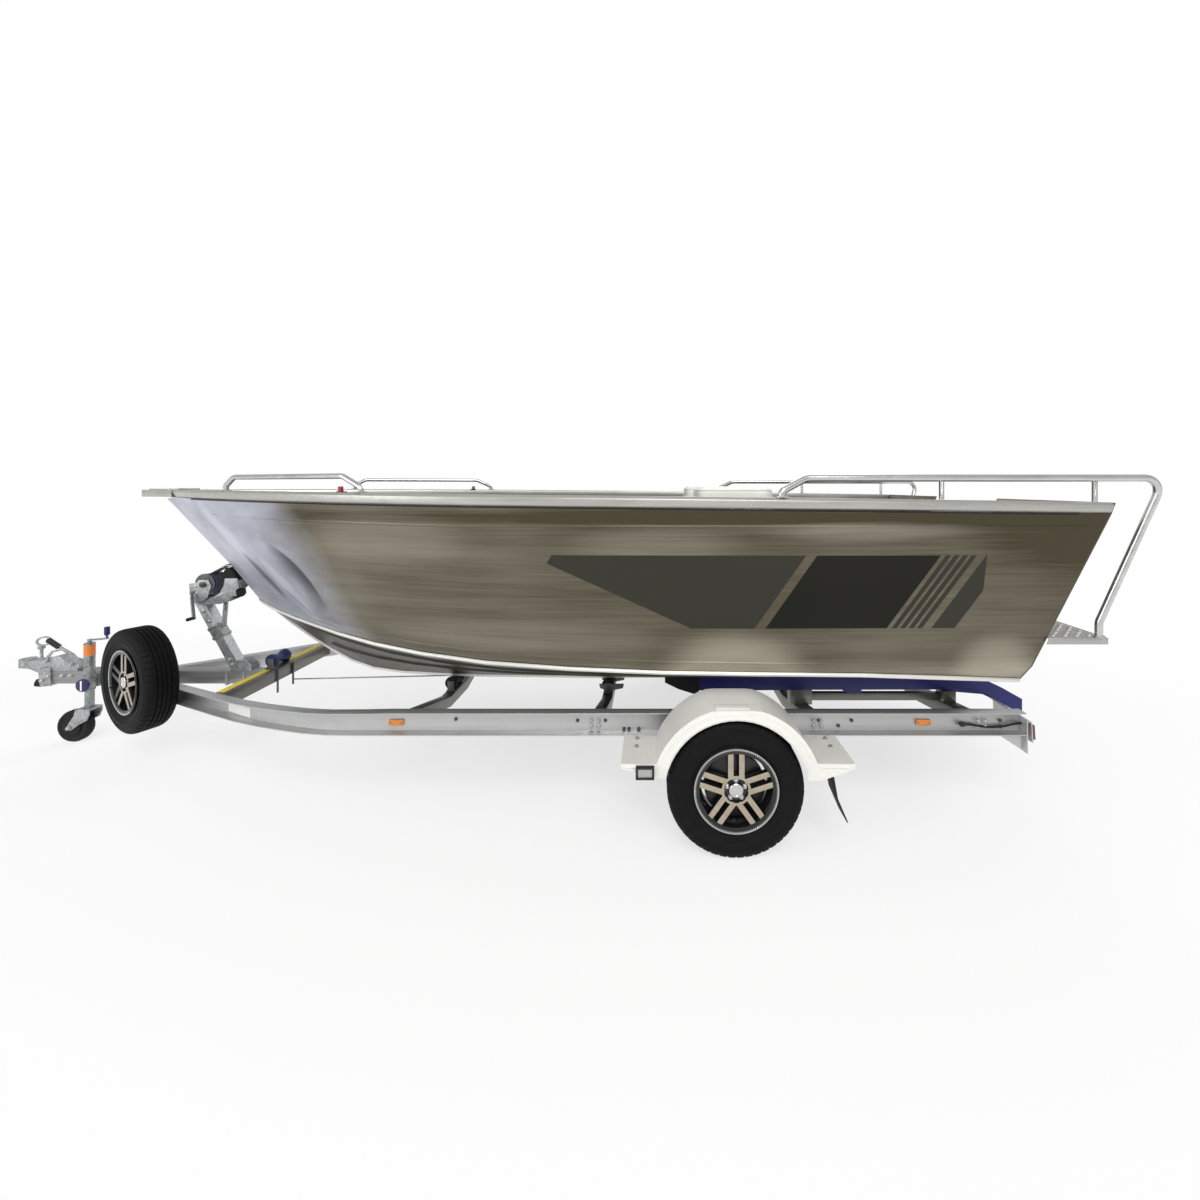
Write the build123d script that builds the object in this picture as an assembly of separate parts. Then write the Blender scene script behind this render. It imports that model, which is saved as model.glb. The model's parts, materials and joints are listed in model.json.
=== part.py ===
"""Open aluminium fishing boat carried on its single-axle aluminium trailer.

Millimetres. +X is forward (coupling end), +Y is port, +Z is up, the ground is z = 0 and the
origin lies on the ground under the middle of the whole length.
"""
from build123d import *
from math import sin, cos, tan, atan2, radians, degrees, hypot, pi
import os

os.makedirs("parts", exist_ok=True)

# ---------------------------------------------------------------- driving sizes
# clearances
fit = 0.3               # face to face gap between separate pieces
run_gap = 6.0           # gap around pieces that turn

# hull
plate = 4.0             # hull plate
keel_half = 8.0         # half width of the keel and stem bar
keel_depth = 26.0       # keel bar below and ahead of the plates
hull_lift = 0.0         # raises the whole hull on its supports
half_beam = 1055.0      # widest half breadth over the gunwale
half_chine = 880.0      # widest half breadth at the chine
gun_high = 48.0         # gunwale extrusion height
gun_wide = 58.0         # gunwale extrusion width
gun_wall = 4.0          # gunwale wall
fold_drop = 118.0       # upper fold line below the gunwale top
fold_set = 14.0         # set-in of the side at the upper fold
press_rise = 88.0       # lower press line above the chine
press_out = 26.0        # outward step of the lower press line
chine_bar = 13.0        # chine extrusion width
transom_t = 6.0         # transom plate
floor_z = 742.0         # underside of the cockpit floor
floor_t = 5.0           # cockpit floor plate
deck_z = 1196.0         # underside of both casting decks
deck_t = 5.0            # casting deck plate
fore_deck_x = 700.0     # aft edge of the fore deck
rear_deck_x = -2150.0   # forward edge of the rear deck
bulk_t = 5.0            # bulkhead plate
well_half = 330.0       # half width of the splash well
well_z = 965.0          # underside of the splash well
well_x = -2330.0        # forward face of the splash well
notch_half = 300.0      # half width of the motor cut-out in the transom
notch_z = 1030.0        # bottom of the motor cut-out
hatch_x0 = 900.0        # aft edge of the hatch opening
hatch_x1 = 1260.0       # forward edge of the hatch opening
hatch_half = 190.0      # half width of the hatch opening
hatch_lap = 16.0        # lid overlap round the opening
hatch_t = 5.0           # lid plate

# seats
seat_x = -1270.0        # pedestal axis of both seats
seat_y = 450.0          # pedestal axis off the centre line
post_d = 60.0           # pedestal tube
seat_base_z = 1318.0    # underside of the seat pan
pan_t = 20.0            # seat pan moulding
cushion_t = 95.0        # seat cushion
back_t = 88.0          # folded seat back
seat_len = 420.0        # cushion length
seat_wide = 440.0       # cushion width

# rails on the hull
bow_rail_d = 25.0
stern_rail_d = 30.0
tube_wall = 2.5

# trailer frame
rail_high = 104.0       # side rail height
rail_wide = 52.0        # side rail flange width
rail_wall = 5.0         # side rail web and flanges
rail_top = 477.0        # side rail top, aft of the bend
rail_nose_drop = 100.0  # fall of the rail top to the drawbar
rail_nose_taper = 26.0  # height lost over the nose
rail_y = 780.0          # outer face of the side rail
tail_x = -2581.0        # aft end of the side rails
bar_size = 76.0         # drawbar box section
bar_wall = 5.0
bar_top = 400.0         # drawbar top
hitch_rise = 58.0       # top of the coupling's seat above the drawbar
bar_front = 2800.0      # forward end of the drawbar
bar_back = 1382.0       # aft end of the drawbar
cross_size = 75.0       # crossmember section
cross_wall = 4.0

# running gear
axle_x = -1208.0        # axle line
tyre_d = 564.0          # tyre outside diameter
tyre_w = 150.0          # tyre section width
rim_d = 352.0           # rim flange diameter
rim_seat = 320.0        # bead seat diameter
rim_w = 128.0           # rim width
wheel_y = 980.0         # wheel centre plane
axle_size = 45.0        # axle beam
hub_d = 110.0
guard_t = 3.0
guard_in = 836.0        # inner edge of the mudguard
guard_wide = 228.0      # mudguard width
guard_out = guard_in + guard_wide
spring_wide = 45.0

# jockey wheel
jock_x = 2490.0
jock_y = 76.0
jock_outer_d = 48.0     # outer tube; the inner leg fills its bore
jock_wall = 2.5
jock_wheel_d = 186.0
jock_up = 75.0          # travel of the leg up from its standing place
jock_wheel_w = 54.0
jock_trail = 78.0       # castor offset of the jockey wheel

# winch post
post_size = 60.0
post_foot_x = 1651.0
post_head_x = 1904.0
post_head_z = 860.0

# skids and keel rollers
skid_y = 450.0          # middle of each skid
skid_wide = 90.0
skid_t = 46.0
skid_front = -932.0
skid_back = -2562.0
roller_r = 38.0         # keel roller at its ends
roller_waist = 25.0     # keel roller in the middle
roller_wide = 120.0

wheel_r = tyre_d / 2.0
jock_inner_d = jock_outer_d - 2 * jock_wall - 2 * fit


# ---------------------------------------------------------------- helpers
def poly_wire(points):
    return Wire(Polyline(*[tuple(p) for p in points], close=True).edges())


def loft_sections(sections):
    return Solid.make_loft([poly_wire(s) for s in sections], ruled=True)


def slab_xz(points, y0, y1):
    face = make_face(Polyline(*[(x, y0, z) for x, z in points], close=True))
    return extrude(face, amount=y1 - y0, dir=(0, 1, 0))


def slab_xy(points, z0, z1):
    face = make_face(Polyline(*[(x, y, z0) for x, y in points], close=True))
    return extrude(face, amount=z1 - z0, dir=(0, 0, 1))


def slab_yz(points, x0, x1):
    face = make_face(Polyline(*[(x0, y, z) for y, z in points], close=True))
    return extrude(face, amount=x1 - x0, dir=(1, 0, 0))


def box(x0, x1, y0, y1, z0, z1):
    return Pos((x0 + x1) / 2, (y0 + y1) / 2, (z0 + z1) / 2) * Box(x1 - x0, y1 - y0, z1 - z0)


def cyl(p, q, d, bore=0.0):
    a, b = Vector(*p), Vector(*q)
    v = b - a
    pl = Plane(origin=a, z_dir=v)
    body = extrude(pl * Circle(d / 2), amount=v.length, dir=v.normalized())
    if bore:
        body -= extrude(pl * Circle(bore / 2), amount=v.length, dir=v.normalized())
    return body


def ring_y(x, y0, y1, z, d, bore=0.0):
    return cyl((x, y0, z), (x, y1, z), d, bore)


def turned_y(profile, x, y, z):
    """Revolve a closed (radius, along) profile about a line along Y through (x, y, z)."""
    face = make_face(Polyline(*[(r, a, 0) for r, a in profile], close=True))
    body = revolve(face, Axis.Y, 360)
    return Pos(x, y, z) * body


def tube_path(points, radii, d, wall=0.0):
    path = FilletPolyline(*points, radius=radii) if radii else Polyline(*points)
    v = Vector(*points[1]) - Vector(*points[0])
    pl = Plane(origin=points[0], z_dir=v)
    body = sweep(pl * Circle(d / 2), path=path)
    if wall:
        body -= sweep(pl * Circle(d / 2 - wall), path=path)
    return body


def bar_between(p, q, w, h, wall=0.0, up=(0, 0, 1)):
    """Straight bar, w across and h along `up`, optionally hollow."""
    a, b = Vector(*p), Vector(*q)
    v = b - a
    side = Vector(*up).cross(v).normalized()
    pl = Plane(origin=a, x_dir=side, z_dir=v)
    body = extrude(pl * Rectangle(w, h), amount=v.length, dir=v.normalized())
    if wall:
        body -= extrude(pl * Rectangle(w - 2 * wall, h - 2 * wall), amount=v.length,
                        dir=v.normalized())
    return body


def mirror_y(shape):
    return mirror(shape, about=Plane.XZ)


def fused(items):
    items = list(items)
    out = items[0]
    for s in items[1:]:
        out = out + s
    return out


def spline_rows(rows, steps):
    """Catmull-Rom rows of numbers, `steps` spans between each pair of rows."""
    out = []
    for i in range(len(rows) - 1):
        p0 = rows[max(i - 1, 0)]
        p1, p2 = rows[i], rows[i + 1]
        p3 = rows[min(i + 2, len(rows) - 1)]
        for s in range(steps):
            u = s / steps
            out.append([0.5 * (2 * b + (c - a) * u + (2 * a - 5 * b + 4 * c - d) * u * u
                               + (3 * b - a - 3 * c + d) * u ** 3)
                        for a, b, c, d in zip(p0, p1, p2, p3)])
    out.append(list(rows[-1]))
    return out


nodes = {}


def keep(name, *solids):
    flat = []
    for s in solids:
        flat.extend(s.solids())
    shape = flat[0] if len(flat) == 1 else Compound(children=flat)
    nodes[name] = shape


# ---------------------------------------------------------------- hull lines
# Each row is a tilted station: keel x and z, gunwale x and z, share of the line at the chine,
# chine and gunwale half breadths as shares of the widest.
rows = [
    [-2368, 398, -2769, 1450, 0.250, 0.992, 0.966],
    [-1720, 376, -1900, 1464, 0.285, 1.000, 0.992],
    [-900, 362, -950, 1476, 0.300, 1.000, 1.000],
    [-120, 364, -120, 1484, 0.318, 0.930, 0.972],
    [440, 378, 500, 1490, 0.338, 0.750, 0.846],
    [830, 415, 1010, 1494, 0.348, 0.520, 0.664],
    [1080, 524, 1400, 1496, 0.305, 0.345, 0.492],
    [1321, 685, 1700, 1496, 0.200, 0.178, 0.325],
    [1475, 808, 1860, 1496, 0.060, 0.046, 0.216],
]
stem_k = (1500.0, 833.0)
stem_g = (2092.0, 1478.0)
span_count = 2

stations = spline_rows(rows, span_count)


class Station:
    def __init__(self, row):
        xk, zk, xg, zg, share, yc, yg = row
        self.k = Vector(xk, 0, zk + hull_lift)
        self.g = Vector(xg, 0, zg + hull_lift)
        self.length = (self.g - self.k).length
        self.dir = (self.g - self.k).normalized()
        self.vc = share * self.length
        self.yc = max(yc * half_chine, keel_half + plate + 2.0)
        self.yg = max(yg * half_beam, keel_half + plate + 4.0)
        self.vt = self.length - gun_high - fit
        self.vf = self.length - fold_drop
        grow = min(1.0, self.yc / 500.0)
        self.vp = self.vc + press_rise * (0.4 + 0.6 * grow)
        self.yt = self.yg - 5.0 * grow
        self.yf = self.yg - fold_set * grow
        self.yp = self.yc + (self.yf - self.yc) * (self.vp - self.vc) / (self.vf - self.vc)
        self.yp = self.yp + press_out * grow

    def at(self, y, v):
        p = self.k + self.dir * v
        return (p.X, y, p.Z)

    def ring(self, pts):
        return [self.at(y, v) for y, v in pts]

    def side(self, inset=0.0):
        return [(self.yc - inset, self.vc), (self.yp - inset, self.vp),
                (self.yf - inset, self.vf), (self.yt - inset, self.vt)]


st = [Station(r) for r in stations]
stem = Station([stem_k[0], stem_k[1], stem_g[0], stem_g[1], 0.02, 0.0, 0.052])
stem.yc = keel_half + fit + plate
stem.yp = keel_half + fit + plate + 6
stem.yf = keel_half + fit + plate + 26
stem.yt = keel_half + fit + plate + 32


def side_ring(s):
    return s.ring(s.side() + s.side(plate)[::-1])


side_port = loft_sections([side_ring(s) for s in st + [stem]])


def bottom_ring(s):
    y0, y1 = keel_half + fit, s.yc - plate - fit
    rise = s.vc / (s.yc - y0)
    return s.ring([(y0, 0), (y1, rise * (y1 - y0)), (y1, rise * (y1 - y0) + plate), (y0, plate)])


bottom_port = loft_sections([bottom_ring(s) for s in st])


def chine_ring(s):
    w = min(chine_bar, 4 + s.yc * 0.05)
    y, v = s.yc + fit, s.vc
    lift = (s.yp - s.yc) * (w + 8) / (s.vp - s.vc)
    return s.ring([(y, v - 5), (y + w, v - 1), (y + w + lift * 0.6, v + w * 0.7),
                   (y + lift, v + w + 5)])


chine_port = loft_sections([chine_ring(s) for s in st[:-1]])


def gunwale_ring(s, a=0.0):
    top, low = s.length - a, s.length - gun_high + a
    out, inn = s.yg - a, s.yg - gun_wide + a
    return s.ring([(out - 8, low), (out, low + 10), (out, top - 12), (out - 12, top),
                   (inn + 6, top), (inn, top - 6), (inn, low)])


gunwale_port = loft_sections([gunwale_ring(s) for s in st])
gunwale_port -= loft_sections([gunwale_ring(s, gun_wall) for s in st])

keep("side_port", side_port)
keep("side_starboard", mirror_y(side_port))
keep("bottom_plates", bottom_port, mirror_y(bottom_port))
keep("chine_extrusions", chine_port, mirror_y(chine_port))
keep("gunwales", gunwale_port, mirror_y(gunwale_port))


# keel and stem bar along the profile
def profile_pt(s, v):
    p = s.k + s.dir * v
    return (p.X, p.Z)


low = [profile_pt(s, 0) for s in st]
nose_top = stem.length - gun_high - fit
low.append((stem_k[0] + 6, stem_k[1] + 6 + hull_lift))
low.append(profile_pt(stem, nose_top))


def offset_line(pts, d):
    out = []
    for i, p in enumerate(pts):
        a = pts[max(i - 1, 0)]
        b = pts[min(i + 1, len(pts) - 1)]
        t = Vector(b[0] - a[0], b[1] - a[1], 0).normalized()
        out.append((p[0] + t.Y * d, p[1] - t.X * d))
    return out


keel_outer = offset_line(low, keel_depth - 12)
keel_inner = offset_line(low, -12)
keel_bar = slab_xz(keel_outer + keel_inner[::-1], -keel_half, keel_half)
keep("keel_and_stem", keel_bar)


# inner volume of the hull, used to cut the floor, decks and bulkheads to shape
def inner_ring(s, a=fit):
    y0 = keel_half + fit
    rise = s.vc / (s.yc - y0)
    y1 = s.yc - plate - a
    pts = [(y0, plate + a + 12), (y1, rise * (y1 - y0) + plate + a * 2)]
    pts += [(s.yp - plate - a, s.vp), (s.yf - plate - a, s.vf), (s.yt - plate - a, s.vt)]
    return s.ring(pts + [(-y, v) for y, v in pts[::-1]])


inner = loft_sections([inner_ring(s) for s in st])


def inner_slab(x0, x1, z0, z1):
    return inner & box(x0, x1, -1200, 1200, z0 + hull_lift, z1 + hull_lift)


# transom: a plate on the aftmost station
s0 = st[0]
aft = (s0.dir.cross(Vector(0, 1, 0))).normalized()
if aft.X > 0:
    aft = aft * -1
outline = [(keel_half + fit, 0), (s0.yc, s0.vc), (s0.yp, s0.vp), (s0.yf, s0.vf),
           (s0.yt, s0.vt), (s0.yt, s0.length), (s0.yt - gun_wide, s0.length)]
outline = outline + [(-y, v) for y, v in outline[::-1]]
tr_face = make_face(Polyline(*[tuple(Vector(*s0.at(y, v)) + aft * fit) for y, v in outline],
                             close=True))
transom = extrude(tr_face, amount=transom_t, dir=tuple(aft))
transom -= box(-2900, -2300, -notch_half, notch_half, notch_z + hull_lift, 1600 + hull_lift)
keep("transom", transom)

# floor and decks
floor = inner_slab(-2480, 1100, floor_z, floor_z + floor_t)
keep("cockpit_floor", floor)
deck_top = deck_z + deck_t

fore = inner_slab(fore_deck_x, 1900, deck_z, deck_top)
fore -= box(hatch_x0, hatch_x1, -hatch_half, hatch_half, deck_z - 5 + hull_lift,
            deck_top + 5 + hull_lift)
fore_bulk = inner_slab(fore_deck_x + 20, fore_deck_x + 20 + bulk_t, floor_z + floor_t + fit,
                       deck_z - fit)
deck_face = deck_top + hull_lift
lid = box(hatch_x0 - hatch_lap, hatch_x1 + hatch_lap, -hatch_half - hatch_lap,
          hatch_half + hatch_lap, deck_face + fit, deck_face + fit + hatch_t)
lid = fillet(lid.edges().filter_by(Axis.Z), 24)
# two barrel hinges along the forward edge of the lid
hinge_d = 10.0
lid_hinge_x = hatch_x1 + hatch_lap + 8.0
lid_hinge_z = deck_face + hinge_d / 2 + 3.0
barrel = 36.0
bosses = []
for y in (-hatch_half * 0.6, hatch_half * 0.6):
    lid += ring_y(lid_hinge_x, y - barrel / 2, y + barrel / 2, lid_hinge_z, hinge_d)
    lid += box(lid_hinge_x - 14, lid_hinge_x, y - barrel / 2, y + barrel / 2,
               deck_face + fit + 2, deck_face + fit + hatch_t)
    for s in (-1, 1):
        ya, yb = sorted((y + s * (barrel / 2 + fit), y + s * (barrel / 2 + 14)))
        bosses.append(box(lid_hinge_x - 5, lid_hinge_x + 12, ya, yb, deck_face + fit,
                          lid_hinge_z + hinge_d / 2))
keep("hatch_lid", lid)
keep("fore_deck", fore, fore_bulk, *bosses)

rear = inner_slab(-2800, rear_deck_x, deck_z, deck_top)
rear -= box(-2900, well_x, -well_half, well_half, 900 + hull_lift, 1300 + hull_lift)
rear_bulk = inner_slab(rear_deck_x - 20 - bulk_t, rear_deck_x - 20, floor_z + floor_t + fit,
                       deck_z - fit)
well_back = inner_slab(-2800, well_x - fit, well_z, well_z + bulk_t)
well_back = well_back & box(-2900, -2000, -well_half - 60, well_half + 60, 0, 3000)
wz0, wz1 = well_z + bulk_t + fit + hull_lift, deck_z - fit + hull_lift
well_front = box(well_x + fit, well_x + fit + bulk_t, -well_half - 60, well_half + 60,
                 well_z + hull_lift, wz1)
cheeks = inner & box(-2800, well_x - fit, well_half + fit, well_half + fit + bulk_t, wz0, wz1)
keep("rear_deck", rear, rear_bulk, well_back, well_front, cheeks, mirror_y(cheeks))


# bow platform: closes the gunwales ahead of their forward ends
sb = st[-1]


slab_lo = sb.at(0, sb.length - gun_high)[2]
slab_hi = sb.at(0, sb.length)[2]
nose_x0 = sb.at(0, sb.length)[0] + fit
slab_long = 330.0          # length of the bow slab ahead of the gunwales
tip_x = nose_x0 + slab_long
pts = [(nose_x0, sb.yg - 1), (nose_x0 + 0.3 * slab_long, 150), (tip_x - 120, 108),
       (tip_x - 50, 88), (tip_x - 8, 74), (tip_x, 60)]
plan = pts + [(x, -y) for x, y in pts[::-1]]
platform = slab_xy(plan, slab_lo + fit, slab_hi)
thruster = box(tip_x - 236, tip_x - 44, -72, 72, slab_hi + fit, slab_hi + 9)
thruster = fillet(thruster.edges().filter_by(Axis.Z), 16)
keep("bow_platform", platform, thruster)


# ---------------------------------------------------------------- hull fittings
def lerp_on(pts, x, k):
    """Value k of the points (sorted by falling or rising x) at x."""
    for a, b in zip(pts, pts[1:]):
        lo, hi = sorted((a[0], b[0]))
        if lo <= x <= hi and hi > lo:
            u = (x - a[0]) / (b[0] - a[0])
            return a[k] + u * (b[k] - a[k])
    return pts[0][k] if abs(x - pts[0][0]) < abs(x - pts[-1][0]) else pts[-1][k]


gun_line = [s.at(s.yg, s.length) for s in st]


def gun_y(x):
    return lerp_on(gun_line, x, 1) - gun_wide / 2


def gun_z(x):
    return lerp_on(gun_line, x, 2)


def bottom_z(x, y):
    """Outer face of the bottom plate under the point (x, y)."""
    pts = []
    for s in st:
        w = (y - keel_half - fit) / (s.yc - keel_half - fit)
        a, b = s.at(0, 0), s.at(0, s.vc)
        pts.append((a[0] + w * (b[0] - a[0]), a[2] + w * (b[2] - a[2])))
    return lerp_on(pts, x, 1)


foot_t = 4.0


def seat_z(x, r=30.0):
    """Level just above the gunwale under a foot of radius r."""
    return max(gun_z(x - r), gun_z(x + r)) + fit


def rail_foot(x, d):
    z = seat_z(x)
    return cyl((x, gun_y(x), z), (x, gun_y(x), z + foot_t), d * 1.9)


def foot_point(x, up):
    return (x, gun_y(x), seat_z(x) + foot_t + up)


bow_rail_x0, bow_rail_x1 = 403.0, 1278.0
bow_rail_top = 1562.0 + hull_lift
a0, a1 = foot_point(bow_rail_x0, 0), foot_point(bow_rail_x0, 18)
b0, b1 = foot_point(bow_rail_x1, 0), foot_point(bow_rail_x1, 18)
br = tube_path([a0, a1, (bow_rail_x0 + 100, gun_y(bow_rail_x0 + 100) - 4, bow_rail_top),
                (bow_rail_x1 - 62, gun_y(bow_rail_x1 - 62) - 4, bow_rail_top), b1, b0],
               [24, 60, 60, 24], bow_rail_d, tube_wall)
bow_rail = br + rail_foot(bow_rail_x0, bow_rail_d) + rail_foot(bow_rail_x1, bow_rail_d)

# boarding platforms on the transom
plat_top = 872.0 + hull_lift
plat_lip = 28.0
plat_aft = -2806.0
plat_y0, plat_y1 = half_beam - 415.0, half_beam - 110.0
plat_t = 4.0


def transom_x(z):
    """Aft face of the transom at the height z."""
    v = (z - s0.k.Z - aft.Z * (transom_t + fit)) / s0.dir.Z
    return s0.k.X + s0.dir.X * v + aft.X * (transom_t + fit)


def plat_profile(a):
    zt, zb = plat_top - a, plat_top - plat_lip - a
    return [(transom_x(zt) - fit, zt), (transom_x(zb) - fit, zb), (plat_aft + a, zb),
            (plat_aft + a, zt)]


plat = slab_xz(plat_profile(0), plat_y0, plat_y1)
plat -= slab_xz(plat_profile(plat_t), plat_y0 + plat_t, plat_y1 - plat_t)
keep("boarding_platforms", plat, mirror_y(plat))

# stern handrails run aft past the transom and down to the platforms
sr_x = -1396.0
sr_top = 1551.0 + hull_lift
sr_y = half_beam - 65.0
sr_end = plat_y1 - 24.0
sr_foot_x = -2786.0
sr_corner_x = -3000.0
s_a, s_b = foot_point(sr_x, 0), foot_point(sr_x, 20)
stern_rail = tube_path([s_a, s_b, (-1508, sr_y, sr_top), (sr_corner_x, sr_y, sr_top),
                        (sr_foot_x, sr_end, plat_top + 60),
                        (sr_foot_x, sr_end, plat_top + foot_t + fit)],
                       [24, 70, 60, 40], stern_rail_d, tube_wall)
stern_rail += rail_foot(sr_x, stern_rail_d)
stern_rail += cyl((sr_foot_x, sr_end, plat_top + fit),
                  (sr_foot_x, sr_end, plat_top + fit + foot_t), stern_rail_d * 1.5)
posts = []
for x in (-2071.0, -2708.0):
    z = seat_z(x, 12)
    posts.append(cyl((x, sr_y, z), (x, sr_y, sr_top - stern_rail_d / 2 + 1.2), 20.0))
stern_rail = fused([stern_rail] + posts)
keep("handrails", bow_rail, mirror_y(bow_rail), stern_rail, mirror_y(stern_rail))

# navigation lamps on the gunwales
nav_x = 484.0
nav = []
for side in (1, -1):
    z = seat_z(nav_x + 40, 14)
    lamp = cyl((nav_x + 40, side * (gun_y(nav_x + 40) - 18), z),
               (nav_x + 40, side * (gun_y(nav_x + 40) - 18), z + 26), 22.0)
    nav.append(lamp)
keep("nav_lamps", *nav)

# seats: fixed pedestal, swivelling pan with cushion, folding back
floor_top = floor_z + floor_t + hull_lift
swivel_z = seat_base_z + hull_lift
base_t = 8.0
boss_h = 14.0
hinge_x = -seat_len / 2 - 20.0
hinge_z = swivel_z + pan_t + cushion_t + 4.0


def pedestal(y):
    foot = cyl((seat_x, y, floor_top + fit), (seat_x, y, floor_top + fit + base_t), 230.0)
    tube = cyl((seat_x, y, floor_top + fit + base_t), (seat_x, y, swivel_z - boss_h), post_d,
               post_d - 6)
    head = cyl((seat_x, y, swivel_z - boss_h), (seat_x, y, swivel_z - fit), 150.0)
    return foot + tube + head


def seat_low(y):
    pan = box(seat_x - seat_len / 2, seat_x + seat_len / 2, y - seat_wide / 2,
              y + seat_wide / 2, swivel_z, swivel_z + pan_t)
    pan = fillet(pan.edges().filter_by(Axis.Z), 50)
    ears = []
    for s in (-1, 1):
        yy = y + s * (seat_wide / 2 - 66)
        ear = slab_xz([(seat_x - seat_len / 2 + 6, swivel_z), (seat_x + hinge_x - 16, swivel_z),
                       (seat_x + hinge_x - 16, hinge_z + 14),
                       (seat_x + hinge_x + 8, hinge_z + 14),
                       (seat_x + hinge_x + 8, swivel_z + pan_t),
                       (seat_x - seat_len / 2 + 6, swivel_z + pan_t)], yy - 4, yy + 4)
        ears.append(ear)
        y0, y1 = sorted((y + s * (seat_wide / 2 - 62), y + s * (seat_wide / 2 - 54)))
        ears.append(ring_y(seat_x + hinge_x, y0 - 1, y1 + 1, hinge_z, 10))
    return fused([pan] + ears)


def seat_cushion(y):
    c = box(seat_x - seat_len / 2 + 4, seat_x + seat_len / 2, y - seat_wide / 2 + 4,
            y + seat_wide / 2 - 4, swivel_z + pan_t + fit, swivel_z + pan_t + cushion_t - 14)
    c = fillet(c.edges().filter_by(Axis.Z), 50)
    return fillet(c.faces().sort_by(Axis.Z)[-1].edges(), 24)


def seat_back(y):
    z0 = swivel_z + pan_t + cushion_t - 14 + 7
    c = box(seat_x - seat_len / 2 + 6, seat_x + seat_len / 2 - 16, y - seat_wide / 2 + 14,
            y + seat_wide / 2 - 14, z0, z0 + back_t)
    c = fillet(c.edges().filter_by(Axis.Z), 50)
    c = fillet(c.faces().sort_by(Axis.Z)[-1].edges(), 26)
    hx = seat_x + hinge_x
    for s in (-1, 1):
        ear = y + s * (seat_wide / 2 - 66)
        y0, y1 = sorted((ear + s * (4 + fit), ear + s * 9))
        c += slab_xz([(hx - 10, hinge_z - 10), (hx + 10, hinge_z - 10), (hx + 40, z0 + 14),
                      (hx + 40, z0 + 40), (hx, z0 + 40), (hx - 10, hinge_z + 12)], y0, y1)
        c -= ring_y(hx, y0 - 1, y1 + 1, hinge_z, 10 + 2 * fit)
    return c


for name, y in (("port", seat_y), ("starboard", -seat_y)):
    keep("seat_pan_" + name, seat_low(y))
    keep("seat_cushion_" + name, seat_cushion(y))
    keep("seat_back_" + name, seat_back(y))
keep("pedestals", pedestal(seat_y), pedestal(-seat_y))


# ---------------------------------------------------------------- trailer frame
rail_path = [(tail_x, 0.0), (350.0, 0.0), (650.0, 28.0), (900.0, 92.0), (1230.0, 214.0),
             (1640.0, 412.0), (2000.0, 590.0), (2262.0, 724.0)]
rail_pts = [(x, rail_y - dy) for x, dy in rail_path]
smooth = [rail_pts[0]] + [tuple(p) for p in spline_rows([list(p) for p in rail_pts[1:]], 2)]


def nose_share(x):
    """0 aft of the bend, rising to 1 at the forward end of a side rail."""
    bend, nose = rail_path[1][0], rail_path[-1][0]
    return max(0.0, (x - bend) / (nose - bend))


def rail_top_at(x):
    return rail_top - rail_nose_drop * nose_share(x)


def rail_section(i, pts, prof):
    a = pts[max(i - 1, 0)]
    b = pts[min(i + 1, len(pts) - 1)]
    t = Vector(b[0] - a[0], b[1] - a[1], 0).normalized()
    if 0 < i < len(pts) - 1:
        t1 = Vector(pts[i][0] - a[0], pts[i][1] - a[1], 0).normalized()
        t2 = Vector(b[0] - pts[i][0], b[1] - pts[i][1], 0).normalized()
        t = (t1 + t2).normalized()
    n = Vector(t.Y, -t.X, 0)
    zt = rail_top_at(pts[i][0])
    lost = rail_nose_taper * nose_share(pts[i][0])
    return [(pts[i][0] + n.X * o, pts[i][1] + n.Y * o, zt - (d - lost if d > rail_high / 2 else d))
            for o, d in prof]


w, h, t = rail_wide, rail_high, rail_wall
chan = [(0, 0), (w, 0), (w, h), (0, h), (0, h - t), (w - t, h - t), (w - t, t), (0, t)]
rail_port = loft_sections([rail_section(i, smooth, chan) for i in range(len(smooth))])
rail_port -= box(1800, 2400, -200, bar_size / 2 + fit, 0, 700)
keep("rail_port", rail_port)
keep("rail_starboard", mirror_y(rail_port))

web_line = [rail_section(i, smooth, [(w, 0)])[0] for i in range(len(smooth))]


def web_in(x):
    """Inboard face of the side rail at x."""
    return lerp_on(web_line, x, 1)


def rail_out(x):
    return lerp_on(smooth, x, 1)


# drawbar with its front crossmember
bar_lo = bar_top - bar_size
front_x0, front_x1 = bar_back, bar_back + cross_size
drawbar = box(front_x1 + fit, bar_front, -bar_size / 2, bar_size / 2, bar_lo, bar_top)
drawbar -= box(front_x1 + fit - 1, bar_front + 1, -bar_size / 2 + bar_wall,
               bar_size / 2 - bar_wall, bar_lo + bar_wall, bar_top - bar_wall)
keep("drawbar", drawbar)


def plan_cross(x0, x1, z0, z1, wall):
    def outline(a, b, c):
        return [(a, web_in(a) - c), (b, web_in(b) - c), (b, -web_in(b) + c),
                (a, -web_in(a) + c)]
    body = slab_xy(outline(x0, x1, fit), z0, z1)
    body -= slab_xy(outline(x0 + wall, x1 - wall, fit + wall), z0 + wall, z1 - wall)
    return body


front_top = bar_top + 20.0
front_high = 72.0
cross_front = plan_cross(front_x0, front_x1, front_top - front_high, front_top, cross_wall)
rear_cross_x = (-1636.0, -2400.0)
rear_cross_top = 438.0
rear_cross = [plan_cross(x - cross_size / 2, x + cross_size / 2, rear_cross_top - 60,
                         rear_cross_top, cross_wall) for x in rear_cross_x]
keel_lo = [(x, z) for x, z in keel_outer]


def keel_z(x):
    return lerp_on(keel_lo, x, 1)


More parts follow.
